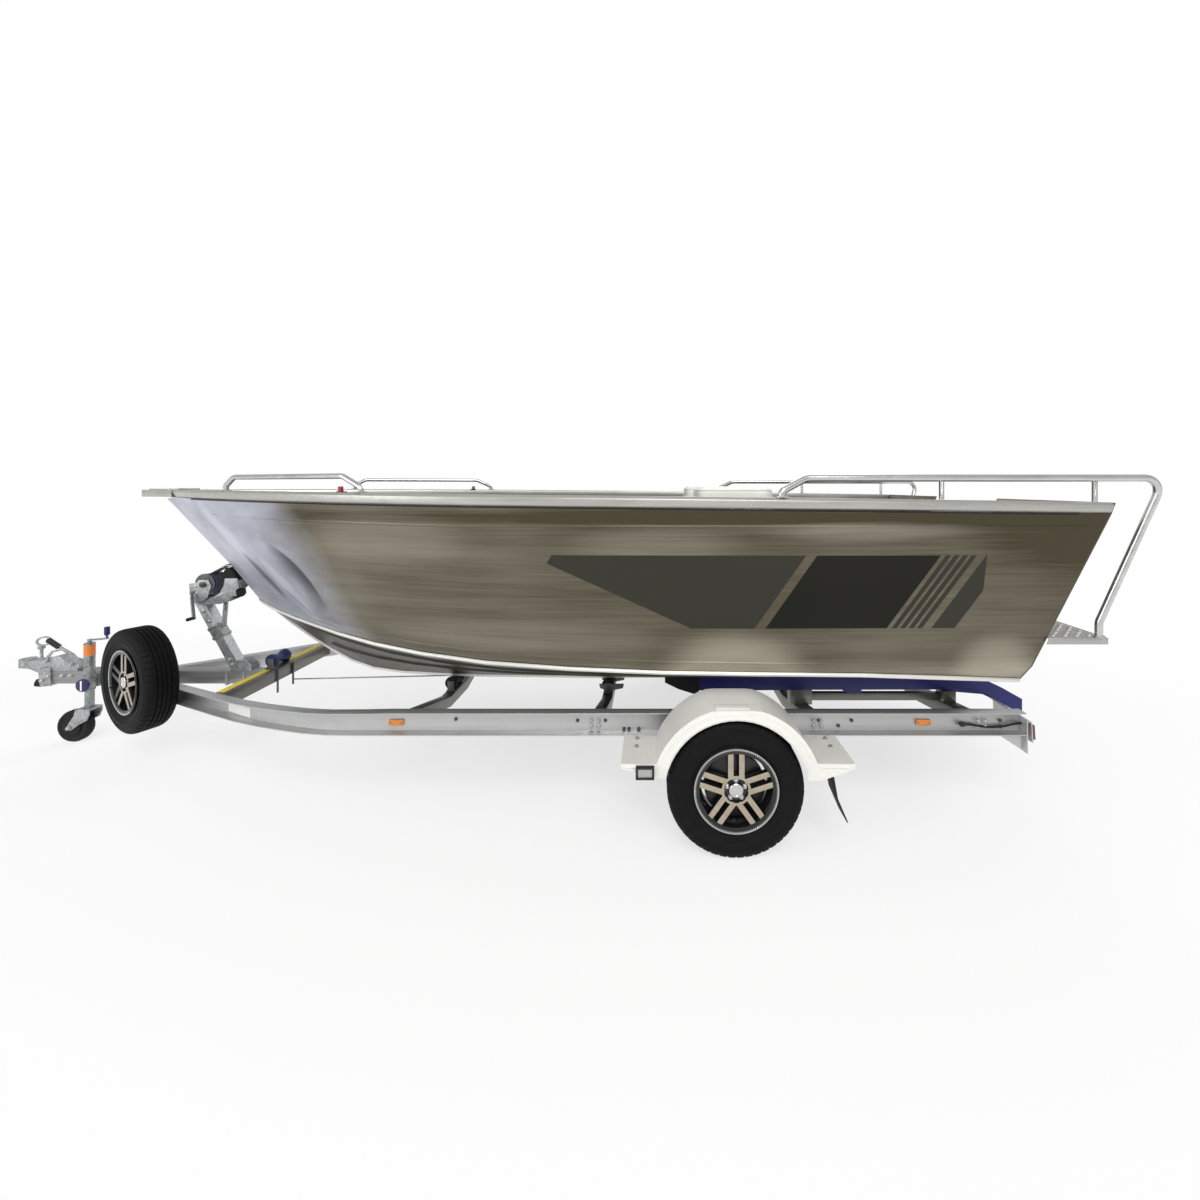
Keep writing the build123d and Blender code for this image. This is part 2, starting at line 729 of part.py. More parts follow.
# the rear crossmembers pass under the keel
for i, x in enumerate(rear_cross_x):
    dip = keel_z(x) - 20.0
    half = 230.0
    x0, x1 = x - cross_size / 2, x + cross_size / 2
    y = web_in(x) - fit

    def ring(a):
        return [(-y + a, rear_cross_top - a), (-half, dip - a), (half, dip - a),
                (y - a, rear_cross_top - a), (y - a, rear_cross_top - 60 + a),
                (half + 10, dip - 60 + a), (-half - 10, dip - 60 + a),
                (-y + a, rear_cross_top - 60 + a)]
    body = slab_yz(ring(0), x0, x1) - slab_yz(ring(cross_wall), x0 + cross_wall,
                                              x1 - cross_wall)
    rear_cross[i] = body

roller_x = (340.0, -600.0)
v_wide = 60.0
v_cross = []
for x in roller_x:
    x0, x1 = x - v_wide / 2, x + v_wide / 2
    y = min(web_in(x0), web_in(x1)) - fit
    zc = keel_z(x) - 2 * roller_waist - 24.0
    zt = rail_top - 39.0

    def ring(a):
        return [(-y + a, zt - a), (-130, zc - a), (130, zc - a), (y - a, zt - a),
                (y - a, zt - 58 + a), (136, zc - 58 + a), (-136, zc - 58 + a),
                (-y + a, zt - 58 + a)]
    v_cross.append(slab_yz(ring(0), x0, x1)
                   - slab_yz(ring(cross_wall), x0 + cross_wall, x1 - cross_wall))
keep("crossmembers", cross_front, *(rear_cross + v_cross))

# keel rollers on forked brackets
pin_d = 16.0
rollers, forks = [], []


def roller(x, z):
    half = roller_wide / 2
    prof = [(pin_d / 2 + fit, -half), (roller_r, -half), (roller_r, -half + 12),
            (roller_waist, -12), (roller_waist, 12), (roller_r, half - 12), (roller_r, half),
            (pin_d / 2 + fit, half)]
    return turned_y(prof, x, 0, z)


fork_t = 6.0
for x in roller_x:
    z = keel_z(x) - fit - roller_waist
    base = keel_z(x) - 2 * roller_waist - 24.0 + fit
    rollers.append(roller(x, z))
    half = roller_wide / 2 + 2
    parts = [box(x - 28, x + 28, -half - fork_t, half + fork_t, base, base + fork_t)]
    for s in (-1, 1):
        y0, y1 = sorted((s * half, s * (half + fork_t)))
        parts.append(box(x - 20, x + 20, y0, y1, base, z + 16))
        if x < 0:
            parts.append(slab_xz([(x - 96, z + 12), (x - 90, z - 14), (x - 10, z - 30),
                                  (x + 46, z - 14), (x + 52, z + 12)], y0, y1))
    parts.append(ring_y(x, -half - fork_t, half + fork_t, z, pin_d))
    forks.append(fused(parts))
# loading roller over the front crossmember, on stems that hang behind it
lead_x = bar_back + cross_size / 2
arm_lo = front_top + fit
lead_z = arm_lo + fork_t + roller_r + 4
rollers.append(roller(lead_x, lead_z))
half = roller_wide / 2 + 2
stem_x = front_x0 - fit - 10
parts = [box(stem_x, lead_x + 30, -half - fork_t, half + fork_t, arm_lo, arm_lo + fork_t)]
for s in (-1, 1):
    y0, y1 = sorted((s * half, s * (half + fork_t)))
    parts.append(box(lead_x - 20, lead_x + 20, y0, y1, arm_lo, lead_z + 16))
    parts.append(box(stem_x, stem_x + 10, y0, y1, front_top - 138, arm_lo + 2))
parts.append(ring_y(lead_x, -half - fork_t, half + fork_t, lead_z, pin_d))
forks.append(fused(parts))
keep("keel_rollers", *rollers)
keep("roller_brackets", *forks)

# skids under the hull with their posts and stringers
sy0, sy1 = skid_y - skid_wide / 2, skid_y + skid_wide / 2


def skid_ring(x, thick, drop=0.0):
    return [(x, sy0, bottom_z(x, sy0) - fit - drop), (x, sy1, bottom_z(x, sy1) - fit - drop),
            (x, sy1, bottom_z(x, sy0) - fit - drop - thick),
            (x, sy0, bottom_z(x, sy0) - fit - drop - thick)]


xs = [skid_front, skid_front - 70, skid_front - 160, skid_front - 176, -1400.0, -1700.0, -2100.0,
      -2370.0]
thick = [6.0, 40.0, 68.0, skid_t, skid_t, skid_t, skid_t, skid_t]
sk = [skid_ring(x, th, 0.4) for x, th in zip(xs, thick)]


def tail_ring(x, drop):
    z0, z1 = bottom_z(-2420.0, sy0), bottom_z(-2420.0, sy1)
    return [(x, sy0, z0 - fit - drop), (x, sy1, z1 - fit - drop),
            (x, sy1, z0 - fit - drop - skid_t - 8), (x, sy0, z0 - fit - drop - skid_t - 8)]


sk += [tail_ring(-2430.0, 5.0), tail_ring(skid_back, 16.0), tail_ring(-2660.0, 62.0),
       tail_ring(-2767.0, 122.0)]
skid = loft_sections(sk)
skid_low = [(r[3][0], r[3][2]) for r in sk]


def skid_under(x0, x1):
    """Lowest level of the skid's underside between x0 and x1."""
    return min(lerp_on(skid_low, x, 1) for x in (x0, (x0 + x1) / 2, x1))

skid_posts = []


def cross_top(x, y):
    """Top of a rear crossmember at the distance y from the middle."""
    run = web_in(x) - fit - 230.0
    return rear_cross_top - (rear_cross_top - keel_z(x) + 20.0) * (web_in(x) - fit - y) / run


py0, py1 = sy0 + 10, sy1 - 10
for x in rear_cross_x:
    wide = 55.0 if x > -2000 else 33.0
    top = skid_under(x - wide, x + wide) - fit
    post = slab_yz([(py0, cross_top(x, py0) + fit), (py1, cross_top(x, py1) + fit),
                    (py1, top), (py0, top)], x - wide, x + wide)
    skid_posts.append(post)
st_x0, st_x1 = rear_cross_x[1] + 33 + fit, rear_cross_x[0] - 55 - fit
st_y0, st_y1 = sy0 + 14, sy0 + 44
stringer_lo = max(cross_top(x, st_y1) for x in rear_cross_x) + fit
stringer_top = stringer_lo + 38.0
stringer = box(st_x0, st_x1, st_y0, st_y1, stringer_lo, stringer_top)
stringer -= box(st_x0 - 1, st_x1 + 1, st_y0, st_y1 - 4, stringer_lo - 1, stringer_top - 4)
wedge_x = -1895.0
wedge_z = skid_under(wedge_x - 66, wedge_x + 66) - fit
wedge = slab_xz([(wedge_x - 66, stringer_top + fit), (wedge_x + 10, stringer_top + fit),
                 (wedge_x + 66, wedge_z), (wedge_x - 66, wedge_z)], st_y0, st_y1)
keep("skids", skid, mirror_y(skid), wedge, mirror_y(wedge))
keep("skid_posts", *(skid_posts + [mirror_y(p) for p in skid_posts]
                     + [stringer, mirror_y(stringer)]))

# ---------------------------------------------------------------- axle and springs
axle_z = wheel_r
spring_y = rail_y - rail_wide / 2
spring_t = 14.0
spring_x0, spring_x1 = axle_x + 350.0, axle_x - 350.0
spring_z = axle_z + axle_size / 2 + fit
eye_rise = 26.0
hub_in = wheel_y - 66.0
stub_d = 34.0
beam = box(axle_x - axle_size / 2, axle_x + axle_size / 2, -hub_in + 4, hub_in - 4,
           axle_z - axle_size / 2, axle_z + axle_size / 2)
for s in (-1, 1):
    beam += ring_y(axle_x, s * (hub_in - 4), s * (wheel_y - 8), axle_z, stub_d)
keep("axle", beam)


def spring_line(off):
    out = []
    n = 12
    for i in range(n + 1):
        u = -1 + 2 * i / n
        out.append((axle_x + u * 350.0, spring_z + off + eye_rise * u * u))
    return out


leaf = slab_xz(spring_line(0) + spring_line(spring_t)[::-1], spring_y - spring_wide / 2 + 2,
               spring_y + spring_wide / 2 - 2)
hang = []
rail_lo = rail_top - rail_high
for x in (spring_x0, spring_x1):
    z0 = spring_z + eye_rise + spring_t + fit
    hang.append(box(x - 34, x + 34, spring_y - 24, spring_y + 22, z0, rail_lo - fit))
u_plate = box(axle_x - 45, axle_x + 45, spring_y - 30, spring_y + 22,
              axle_z - axle_size / 2 - fit - 8, axle_z - axle_size / 2 - fit)
keep("leaf_springs", leaf, mirror_y(leaf), u_plate, mirror_y(u_plate),
     *(hang + [mirror_y(x) for x in hang]))


# ---------------------------------------------------------------- wheels
def tyre_solid():
    r0, r1, hw = rim_seat / 2, wheel_r, tyre_w / 2
    outer = [(r0 - 0.5 + fit, rim_w / 2 - 14), (r0 + 18, rim_w / 2 - 3), (r0 + 40, hw - 4),
             (r0 + 64, hw), (r1 - 34, hw - 3), (r1 - 16, hw - 8), (r1 - 5, hw - 16),
             (r1, hw - 30)]
    inner = [(r1 - 14, hw - 44), (r1 - 24, hw - 26), (r0 + 64, hw - 12), (r0 + 32, hw - 16),
             (r0 + 8, rim_w / 2 - 26)]
    prof = [(r, -y) for r, y in outer] + outer[::-1] + inner[::-1] + [(r, -y) for r, y in inner]
    return turned_y(prof, 0, 0, 0)


spoke_face = 64.0       # spoke front face outboard of the wheel centre
spoke_t = 24.0
spoke_w = 22.0
spoke_gap = 50.0        # spacing of the two spokes of a pair
rim_wall = 7.0
face_r = 60.0
drum_d = 254.0          # brake drum


def rim_solid():
    r0, hw, lip = rim_seat / 2, rim_w / 2, rim_d / 2
    barrel = [(r0 - rim_wall - 3, -hw - 2), (r0 + 2, -hw - 6), (lip - 4, -hw - 8),
              (lip, -hw - 3), (lip - 8, -hw + 3), (r0 - 0.5, -hw + 13),
              (r0 - 0.5, -hw + 30), (r0 - 14, -hw + 46), (r0 - 14, hw - 46), (r0 - 0.5, hw - 30),
              (r0 - 0.5, hw - 13), (lip - 8, hw - 3), (lip, hw + 3), (lip - 4, hw + 8),
              (r0 + 2, hw + 6), (r0 - rim_wall - 3, hw + 2), (r0 - rim_wall, hw - 32),
              (r0 - rim_wall - 14, hw - 50), (r0 - rim_wall - 14, -hw + 50),
              (r0 - rim_wall, -hw + 32)]
    body = turned_y(barrel, 0, 0, 0)
    f = spoke_face
    hubdisc = turned_y([(stub_d / 2 + 10, f - 30), (face_r, f - 30), (face_r, f), (50, f),
                        (46, f - 12), (31, f - 12), (28, f - 4), (20, f), (0, f + 1),
                        (0, f - 18), (stub_d / 2 + 10, f - 18)], 0, 0, 0)
    pieces = [body, hubdisc]
    for k in range(5):
        a = 90 + 72 * k
        for off in (-spoke_gap / 2, spoke_gap / 2):
            sp = Pos(0, 0, 0) * Rot(0, -a, 0) * (
                Pos((face_r - 12 + r0 - rim_wall - 4) / 2, spoke_face - spoke_t / 2, off * 0.9)
                * Box(r0 - rim_wall - 4 - face_r + 12 + 6, spoke_t, spoke_w))
            pieces.append(sp)
    return fused(pieces)


def hub_solid():
    back = spoke_face - 30 - fit
    prof = [(stub_d / 2 + fit, -60), (hub_d / 2 - 14, -60), (hub_d / 2 - 8, -30),
            (hub_d / 2 - 8, -6), (drum_d / 2, -6), (drum_d / 2, back - 10),
            (hub_d / 2, back - 8), (hub_d / 2, back), (stub_d / 2 + fit, back)]
    return turned_y(prof, 0, 0, 0)


tyre, rim, hub = tyre_solid(), rim_solid(), hub_solid()
for name, s in (("port", 1), ("starboard", -1)):
    def place(shape):
        shape = shape if s == 1 else mirror_y(shape)
        return Pos(axle_x, s * wheel_y, axle_z) * shape
    keep("tyre_" + name, place(tyre))
    keep("rim_" + name, place(rim), place(hub))

# mudguards
arch_r = 345.0
arch_flat = 614.0       # flat crown of the arch
open_r = 292.0
shelf_z = 402.0
shelf_x0, shelf_x1 = -741.0, -1683.0
skirt_end = 334.0


def arc_pts(r, z, n=24, crown=None):
    """Arc over the wheel from the level z ahead of the axle round to z behind it."""
    a = math_asin((z - axle_z) / r)
    top = crown or arch_flat - (arch_r - r)
    return [(axle_x + r * cos(a + (pi - 2 * a) * i / n),
             min(axle_z + r * sin(a + (pi - 2 * a) * i / n), top)) for i in range(n + 1)]


def math_asin(v):
    return atan2(v, (1 - v * v) ** 0.5)


lip_z = 345.0
g = guard_t
cavity = [(shelf_x0 - g, 250.0), (shelf_x0 - g, shelf_z - g)] + arc_pts(arch_r - g, shelf_z - g) \
    + [(shelf_x1 + g, shelf_z - g), (shelf_x1 + g, 250.0)]
body_poly = [(shelf_x0 - 124, skirt_end + 10), (shelf_x0, shelf_z - 18), (shelf_x0, shelf_z)] \
    + arc_pts(arch_r, shelf_z) \
    + [(shelf_x1, shelf_z), (shelf_x1, shelf_z - 22), (shelf_x1 + 136, skirt_end)]
guard = slab_xz(body_poly, guard_in, guard_out) - slab_xz(cavity, guard_in - 1, guard_out - g)
opening = [(axle_x + open_r, 200.0)] + arc_pts(open_r, lip_z, crown=axle_z + open_r) \
    + [(axle_x - open_r, 200.0)]
guard -= slab_xz(opening, guard_in - 2, guard_out + 2)
keep("mudguard_port", guard)
keep("mudguard_starboard", mirror_y(guard))

# stays from the rail flanges to the guards, and flaps behind the wheels
stay_t = 5.0
stays, lamps = [], []
for x0, x1 in ((shelf_x0 - g - fit - stay_t, shelf_x0 - g - fit),
               (shelf_x1 + g + fit, shelf_x1 + g + fit + stay_t)):
    under = shelf_z - g - fit
    stays.append(slab_yz([(rail_y - 50, rail_lo - fit), (rail_y + 6, rail_lo - fit),
                          (guard_in - 4, under), (guard_in + 138, under),
                          (guard_in + 138, under - 20), (guard_in, under - 20),
                          (rail_y, rail_lo - 24), (rail_y - 50, rail_lo - 24)], x0, x1))
flap_t = 5.0
flap = slab_xz([(-1612, shelf_z - g - fit), (-1612 + flap_t, shelf_z - g - fit),
                (-1608 + flap_t, 340), (-1626 + flap_t, 240), (-1668 + flap_t, 142),
                (-1668, 142), (-1626, 240), (-1608, 340)], wheel_y - 50, wheel_y + 50)
stays = stays + [mirror_y(x) for x in stays]
keep("guard_stays", *stays)
keep("mudflaps", flap, mirror_y(flap))
lamp_x = -838.0
lamp = box(lamp_x - 29, lamp_x + 29, guard_out + fit, guard_out + 14, 354, 388)
lamp = fillet(lamp.edges().filter_by(Axis.Y), 5)
lamps = [lamp, mirror_y(lamp)]

# ---------------------------------------------------------------- winch post
foot_z = bar_top + fit
pw = post_size


def post_poly(a):
    return [(post_foot_x - pw / 2 + a, foot_z + a), (post_foot_x + pw / 2 - a, foot_z + a),
            (post_head_x + pw / 2 - a, post_head_z - a), (post_head_x - pw / 2 + a,
                                                          post_head_z - a)]


def post_x(z):
    """Middle of the leaning post at the height z."""
    return post_foot_x + (post_head_x - post_foot_x) * (z - foot_z) / (post_head_z - foot_z)


post = slab_xz(post_poly(0), -pw / 2, pw / 2) - slab_xz(post_poly(3), -pw / 2 + 3, pw / 2 - 3)
shoe = [box(post_foot_x - 70, post_foot_x + 62, -bar_size / 2 - 6, bar_size / 2 + 6, foot_z,
            foot_z + 6)]
for x in (post_foot_x - 52, post_foot_x + 52):
    for s in (-1, 1):
        y0, y1 = sorted((s * (bar_size / 2 + fit), s * (bar_size / 2 + 6)))
        shoe.append(box(x - 6, x + 6, y0, y1, bar_lo - 8, foot_z + 6))
    shoe.append(box(x - 6, x + 6, -bar_size / 2 - 6, bar_size / 2 + 6, bar_lo - 8, bar_lo - fit))
heel = post_foot_x - pw / 2
for s in (-1, 1):
    y0, y1 = sorted((s * pw / 2, s * (pw / 2 + 5)))
    shoe.append(slab_xz([(heel - 62, foot_z), (heel - 62, foot_z + 34), (heel - 22, foot_z + 62),
                         (heel + 30, foot_z + 62), (heel + 20, foot_z)], y0, y1))
winch_post = fused([post] + shoe)

stem_dir = stem.dir


def stem_face(z):
    """Forward face of the stem bar at the height z."""
    v = (z - stem.k.Z) / stem_dir.Z
    p = stem.k + stem_dir * v
    return p.X + (keel_depth - 12) / stem_dir.Z


winch_x, winch_z = post_head_x - 78.0, 930.0
frame_y = 52.0
plates = []
head_z = post_head_z + fit
plate_poly = [(winch_x - 20, 846), (winch_x + 30, 812), (post_head_x + 4, 822),
              (post_head_x + 12, 930), (winch_x + 48, 938), (winch_x + 30, 954),
              (winch_x - 26, 954), (winch_x - 42, 916)]
for s in (-1, 1):
    y0, y1 = sorted((s * frame_y, s * (frame_y + 4)))
    plates.append(slab_xz(plate_poly, y0, y1))
bed = box(winch_x + 66, post_head_x + 6, -frame_y - 4, frame_y + 4, head_z, head_z + 5)
shaft = ring_y(winch_x, -frame_y - 4, frame_y + 4, winch_z, 18)
winch_frame = fused(plates + [bed, shaft])
drum_r = 52.0
drum = turned_y([(9 + fit, -frame_y + 2), (drum_r + 8, -frame_y + 2), (drum_r + 8, -frame_y + 5),
                 (drum_r - 4, -frame_y + 5), (drum_r - 4, frame_y - 5), (drum_r + 8, frame_y - 5),
                 (drum_r + 8, frame_y - 2), (9 + fit, frame_y - 2)], winch_x, 0, winch_z)
keep("winch_drum", drum)
# crank hanging on the port side
cr_y = frame_y + 4
cr_x, cr_z = post_head_x - 18.0, 880.0
crank = ring_y(cr_x, -cr_y - 6, cr_y + 22, cr_z, 14)
crank += bar_between((cr_x, cr_y + 18, cr_z + 8), (cr_x - 16, cr_y + 18, cr_z - 160), 20, 6,
                     up=(1, 0, 0))
crank += ring_y(cr_x - 15, cr_y + 15, cr_y + 62, cr_z - 150, 10)
crank_grip = ring_y(cr_x - 15, cr_y + 26, cr_y + 60, cr_z - 150, 20, 10 + 2 * fit)
hole = ring_y(cr_x, -frame_y - 10, frame_y + 10, cr_z, 14 + 2 * fit)
keep("winch_post", winch_post, winch_frame - hole)
keep("winch_crank", crank, crank_grip)

# bow stop: arm, strut and rubber blocks
blk_z0, blk_z1 = 946.0, 1022.0
blk_mid = (blk_z0 + blk_z1) / 2
blk = slab_xz([(stem_face(blk_z0) + 26, blk_z0), (stem_face(blk_z0) + 104, blk_z0),
               (stem_face(blk_z0) + 106, blk_z1 - 20), (stem_face(blk_z1) + 22, blk_z1),
               (stem_face(blk_z1) + fit * 2, blk_z1), (stem_face(blk_mid) + fit * 2, blk_mid)],
              -34, 34)
ax0 = stem_face(blk_z0) + 30
pad_x, pad_z = ax0 + 6, 866.0
strut_t = 22.0
strut_z = 660.0
strut_x = post_x(strut_z) - pw / 2 - strut_t / 2
tie_x = post_x(825.0) - pw / 2 - 6
arm = []
for s in (-1, 1):
    y0, y1 = sorted((s * (34 + fit), s * (34 + fit + 5)))
    arm.append(slab_xz([(ax0 - 12, 960), (ax0 - 18, 900), (ax0 + 6, 884), (ax0 + 14, 862),
                        (ax0 + 34, 828), (ax0 + 90, 806), (tie_x, 800), (tie_x + 28, 800),
                        (tie_x + 34, 846), (ax0 + 128, 848), (ax0 + 92, 872), (ax0 + 70, 916),
                        (ax0 + 62, 960)], y0, y1))
arm.append(ring_y(pad_x, -34 - fit - 5, 34 + fit + 5, pad_z, 14))
for s in (-1, 1):
    y0, y1 = sorted((s * (34 + fit), s * (34 + fit + 5)))
    arm.append(slab_xz([(pad_x - 13, pad_z - 13), (pad_x + 13, pad_z - 13), (ax0 + 34, 870),
                        (pad_x - 8, 896)], y0, y1))
tie = box(tie_x, tie_x + 34, -34 - fit - 5, 34 + fit + 5, 812, 838)
tie += ring_y(ax0 + 86, -34 - fit - 5, 34 + fit + 5, 830, 14)
tie += bar_between((ax0 + 86, 0, 830), (strut_x, 0, strut_z), 12, strut_t, up=(1, 0, 0))
post_cut = slab_xz([(post_foot_x - pw / 2 - fit, foot_z), (post_foot_x + pw / 2 + fit, foot_z),
                    (post_head_x + pw / 2 + fit, post_head_z),
                    (post_head_x - pw / 2 - fit, post_head_z)], -pw / 2 - fit, pw / 2 + fit)
arm.append(tie - post_cut)
bow_arm = fused(arm)
pad = ring_y(pad_x, -18, 30, pad_z, 56, 14 + 2 * fit)
keep("bow_stop", bow_arm)
keep("bow_stop_blocks", blk, pad)

# ---------------------------------------------------------------- coupling
coup_z = bar_top + hitch_rise
cup_lo = coup_z - 42.0
ball_x, ball_r = bar_front + 150, 25.4     # middle of the towing ball and its radius
coup = slab_xz([(ball_x - 340, bar_top + fit), (ball_x - 340, coup_z - 34), (ball_x - 300, coup_z - 8),
                (ball_x - 262, coup_z + 2), (ball_x - 238, coup_z + 28), (ball_x - 206, coup_z + 30),
                (ball_x - 174, coup_z + 8), (ball_x - 90, coup_z + 4), (ball_x - 20, coup_z - 2),
                (ball_x + 5, coup_z - 8),
                (ball_x + 5, cup_lo), (ball_x - 50, cup_lo - 4), (ball_x - 104, cup_lo - 26),
                (ball_x - 114, bar_lo - 18),
                (bar_front + fit, bar_lo - 18), (bar_front + fit, bar_top + fit)], -36, 36)
sleeve = bar_size / 2 + 6
coup += box(ball_x - 188, ball_x - 124, -sleeve, sleeve, bar_lo - 12, bar_top + 20)
coup -= box(ball_x - 189, bar_front + fit, -bar_size / 2 - fit, bar_size / 2 + fit, bar_lo - fit,
            bar_top + fit)
coup += cyl((ball_x, 0, cup_lo), (ball_x, 0, coup_z + 6), 76)
coup -= Pos(ball_x, 0, cup_lo + 10) * Sphere(ball_r)
coup -= cyl((ball_x, 0, cup_lo - 14), (ball_x, 0, cup_lo + 12), 2 * ball_r - 0.8)
screw_x, ring_x, ring_z = ball_x - 82, ball_x - 96, coup_z + 111
coup += cyl((screw_x, 0, coup_z - 6), (screw_x, 0, coup_z + 84), 16)
coup += cyl((screw_x, 0, coup_z + 66), (screw_x, 0, coup_z + 80), 34)


def oval(a, b, tilt, n=28):
    """Points of an ellipse of half axes a and b about the middle of the handle ring."""
    turns = [2 * pi * i / n for i in range(n)]
    return [(ring_x + a * cos(t) * cos(tilt) - b * sin(t) * sin(tilt),
             ring_z + a * cos(t) * sin(tilt) + b * sin(t) * cos(tilt)) for t in turns]


ring_lean = radians(-10)
coup += slab_xz(oval(48, 29, ring_lean), -4.5, 4.5) - slab_xz(oval(39, 20, ring_lean), -5, 5)
keep("coupling", coup)
ly = bar_size / 2 + fit
lever = slab_xz([(ball_x - 366, coup_z - 34), (ball_x - 338, coup_z - 40),
                 (ball_x - 328, coup_z - 6), (ball_x - 300, coup_z + 42),
                 (ball_x - 244, coup_z + 74), (ball_x - 250, coup_z + 92), (ball_x - 310, coup_z + 58),
                 (ball_x - 354, coup_z + 6)], ly, ly + 6)
grip_foot = Vector(ball_x - 244, ly + 3, coup_z + 84)
lv = Vector(69, 0, 45).normalized()
lever += bar_between(tuple(grip_foot - lv * 20), tuple(grip_foot + lv * 6), 6, 16)
grip = bar_between(tuple(grip_foot + lv * (6 + fit)), tuple(grip_foot + lv * 88), 20, 22)
lever += ring_y(ball_x - 322, 36 + fit, ly + 12, coup_z - 14, 18)
link = slab_xz([(ball_x - 250, coup_z + 78), (ball_x - 192, coup_z + 66),
                (ball_x - 160, coup_z + 28), (ball_x - 153, coup_z - 4),
                (ball_x - 167, coup_z - 4), (ball_x - 173, coup_z + 22), (ball_x - 199, coup_z + 54),
                (ball_x - 244, coup_z + 66)], ly, ly + 6)
rod_y = -roller_wide / 2 - 2 - fork_t / 2
rod = cyl((stem_x - 0.8, rod_y, front_top - 107), (roller_x[0] + 20 + 0.8, rod_y,
                                                  keel_z(roller_x[0]) - 24.0), 8)
keep("handbrake", lever + link, grip, rod)

# ---------------------------------------------------------------- jockey wheel
jx, jy = jock_x, jock_y
tube_lo, tube_hi = 302.0, 578.0
outer_tube = cyl((jx, jy, tube_lo), (jx, jy, tube_hi), jock_outer_d, jock_outer_d - 2 * jock_wall)
outer_tube += cyl((jx, jy, tube_hi), (jx, jy, tube_hi + 5), jock_outer_d)
clamp = box(jx - 34, jx + 34, bar_size / 2 + fit, jy - 16, bar_lo - 6, bar_top - 4)
clamp += cyl((jx, jy, bar_lo - 4), (jx, jy, bar_top - 6), jock_outer_d + 16)
clamp -= cyl((jx, jy, bar_lo - 10), (jx, jy, bar_top), jock_outer_d + 2 * fit)
cz = tube_hi + 5 + fit
handle = cyl((jx, jy, cz), (jx, jy, cz + 22), 20)
handle += bar_between((jx, jy, cz + 16), (jx - 108, jy, cz + 26), 16, 8)
handle += cyl((jx - 104, jy, cz + 22), (jx - 104, jy, cz + 96), 12)
knob = cyl((jx - 104, jy, cz + 48), (jx - 104, jy, cz + 94), 26, 12 + 2 * fit)
keep("jockey_mount", outer_tube, clamp, handle, knob)
wr = jock_wheel_d / 2
crown_lo = jock_wheel_d + run_gap
crown_t = 8.0
inner_leg = cyl((jx, jy, crown_lo + crown_t + fit), (jx, jy, tube_hi - jock_up - 10), jock_inner_d,
                jock_inner_d - 2 * jock_wall)
keep("jockey_leg", inner_leg)
wx = jx + jock_trail
half = jock_wheel_w / 2 + run_gap
jfork = box(jx - 38, jx + 44, jy - half - 5, jy + half + 5, crown_lo, crown_lo + crown_t)
for s in (-1, 1):
    y0, y1 = sorted((jy + s * half, jy + s * (half + 5)))
    jfork += slab_xz([(jx - 38, crown_lo + crown_t), (jx + 44, crown_lo + crown_t),
                      (jx + 54, crown_lo - 30), (wx + 12, wr + 14), (wx + 16, wr - 6),
                      (wx + 6, wr - 15), (wx - 10, wr - 15), (jx + 26, wr + 16),
                      (jx - 22, crown_lo - 58), (jx - 38, crown_lo - 22)], y0, y1)
jfork += ring_y(wx, jy - half - 8, jy + half + 8, wr, 16)
keep("jockey_fork", jfork)
jw = turned_y([(8 + fit, -jock_wheel_w / 2), (34, -jock_wheel_w / 2), (36, -20), (wr - 24, -20),
               (wr - 20, -jock_wheel_w / 2 + 3), (wr - 8, -jock_wheel_w / 2),
               (wr, -jock_wheel_w / 2 + 14), (wr, jock_wheel_w / 2 - 14),
               (wr - 8, jock_wheel_w / 2), (wr - 20, jock_wheel_w / 2 - 3), (wr - 24, 20),
               (36, 20), (34, jock_wheel_w / 2), (8 + fit, jock_wheel_w / 2)], wx, jy, wr)
keep("jockey_wheel", jw)

# ---------------------------------------------------------------- spare wheel
sp_x = 1924.0
spare_arm_d = 36.0      # tube from the rail to the spare wheel's plate
sp_y = rail_out(sp_x)
slope = (rail_out(sp_x + 60) - rail_out(sp_x - 60)) / 120.0
sp_n = Vector(-slope, 1, 0).normalized()
sp_z = 457.0
sp_c = Vector(sp_x, sp_y, sp_z) + sp_n * (tyre_w / 2 + 10)
turn = degrees(atan2(slope, 1))
spare_loc = Pos(sp_c.X, sp_c.Y, sp_z) * Rot(0, 0, turn)
keep("spare_tyre", spare_loc * tyre)
back = spoke_face - 30 - fit
p0 = sp_c + sp_n * back
p1 = Vector(sp_x, sp_y, sp_z) + sp_n * (-rail_wide + rail_wall + fit)
z_mid = rail_top_at(sp_x) - rail_high / 2
spare_arm = cyl((p1.X, p1.Y, z_mid), (p0.X, p0.Y, z_mid), spare_arm_d)
spare_arm += bar_between((p0.X - sp_n.X * 8, p0.Y - sp_n.Y * 8, z_mid - 20),
                         (p0.X - sp_n.X * 8, p0.Y - sp_n.Y * 8, sp_z), 60, 8,
                         up=(sp_n.X, sp_n.Y, 0))
spare_arm += cyl((p0.X - sp_n.X * 8, p0.Y - sp_n.Y * 8, sp_z), (p0.X, p0.Y, sp_z), 120)
keep("spare_rim", spare_loc * rim)
keep("spare_carrier", spare_arm)

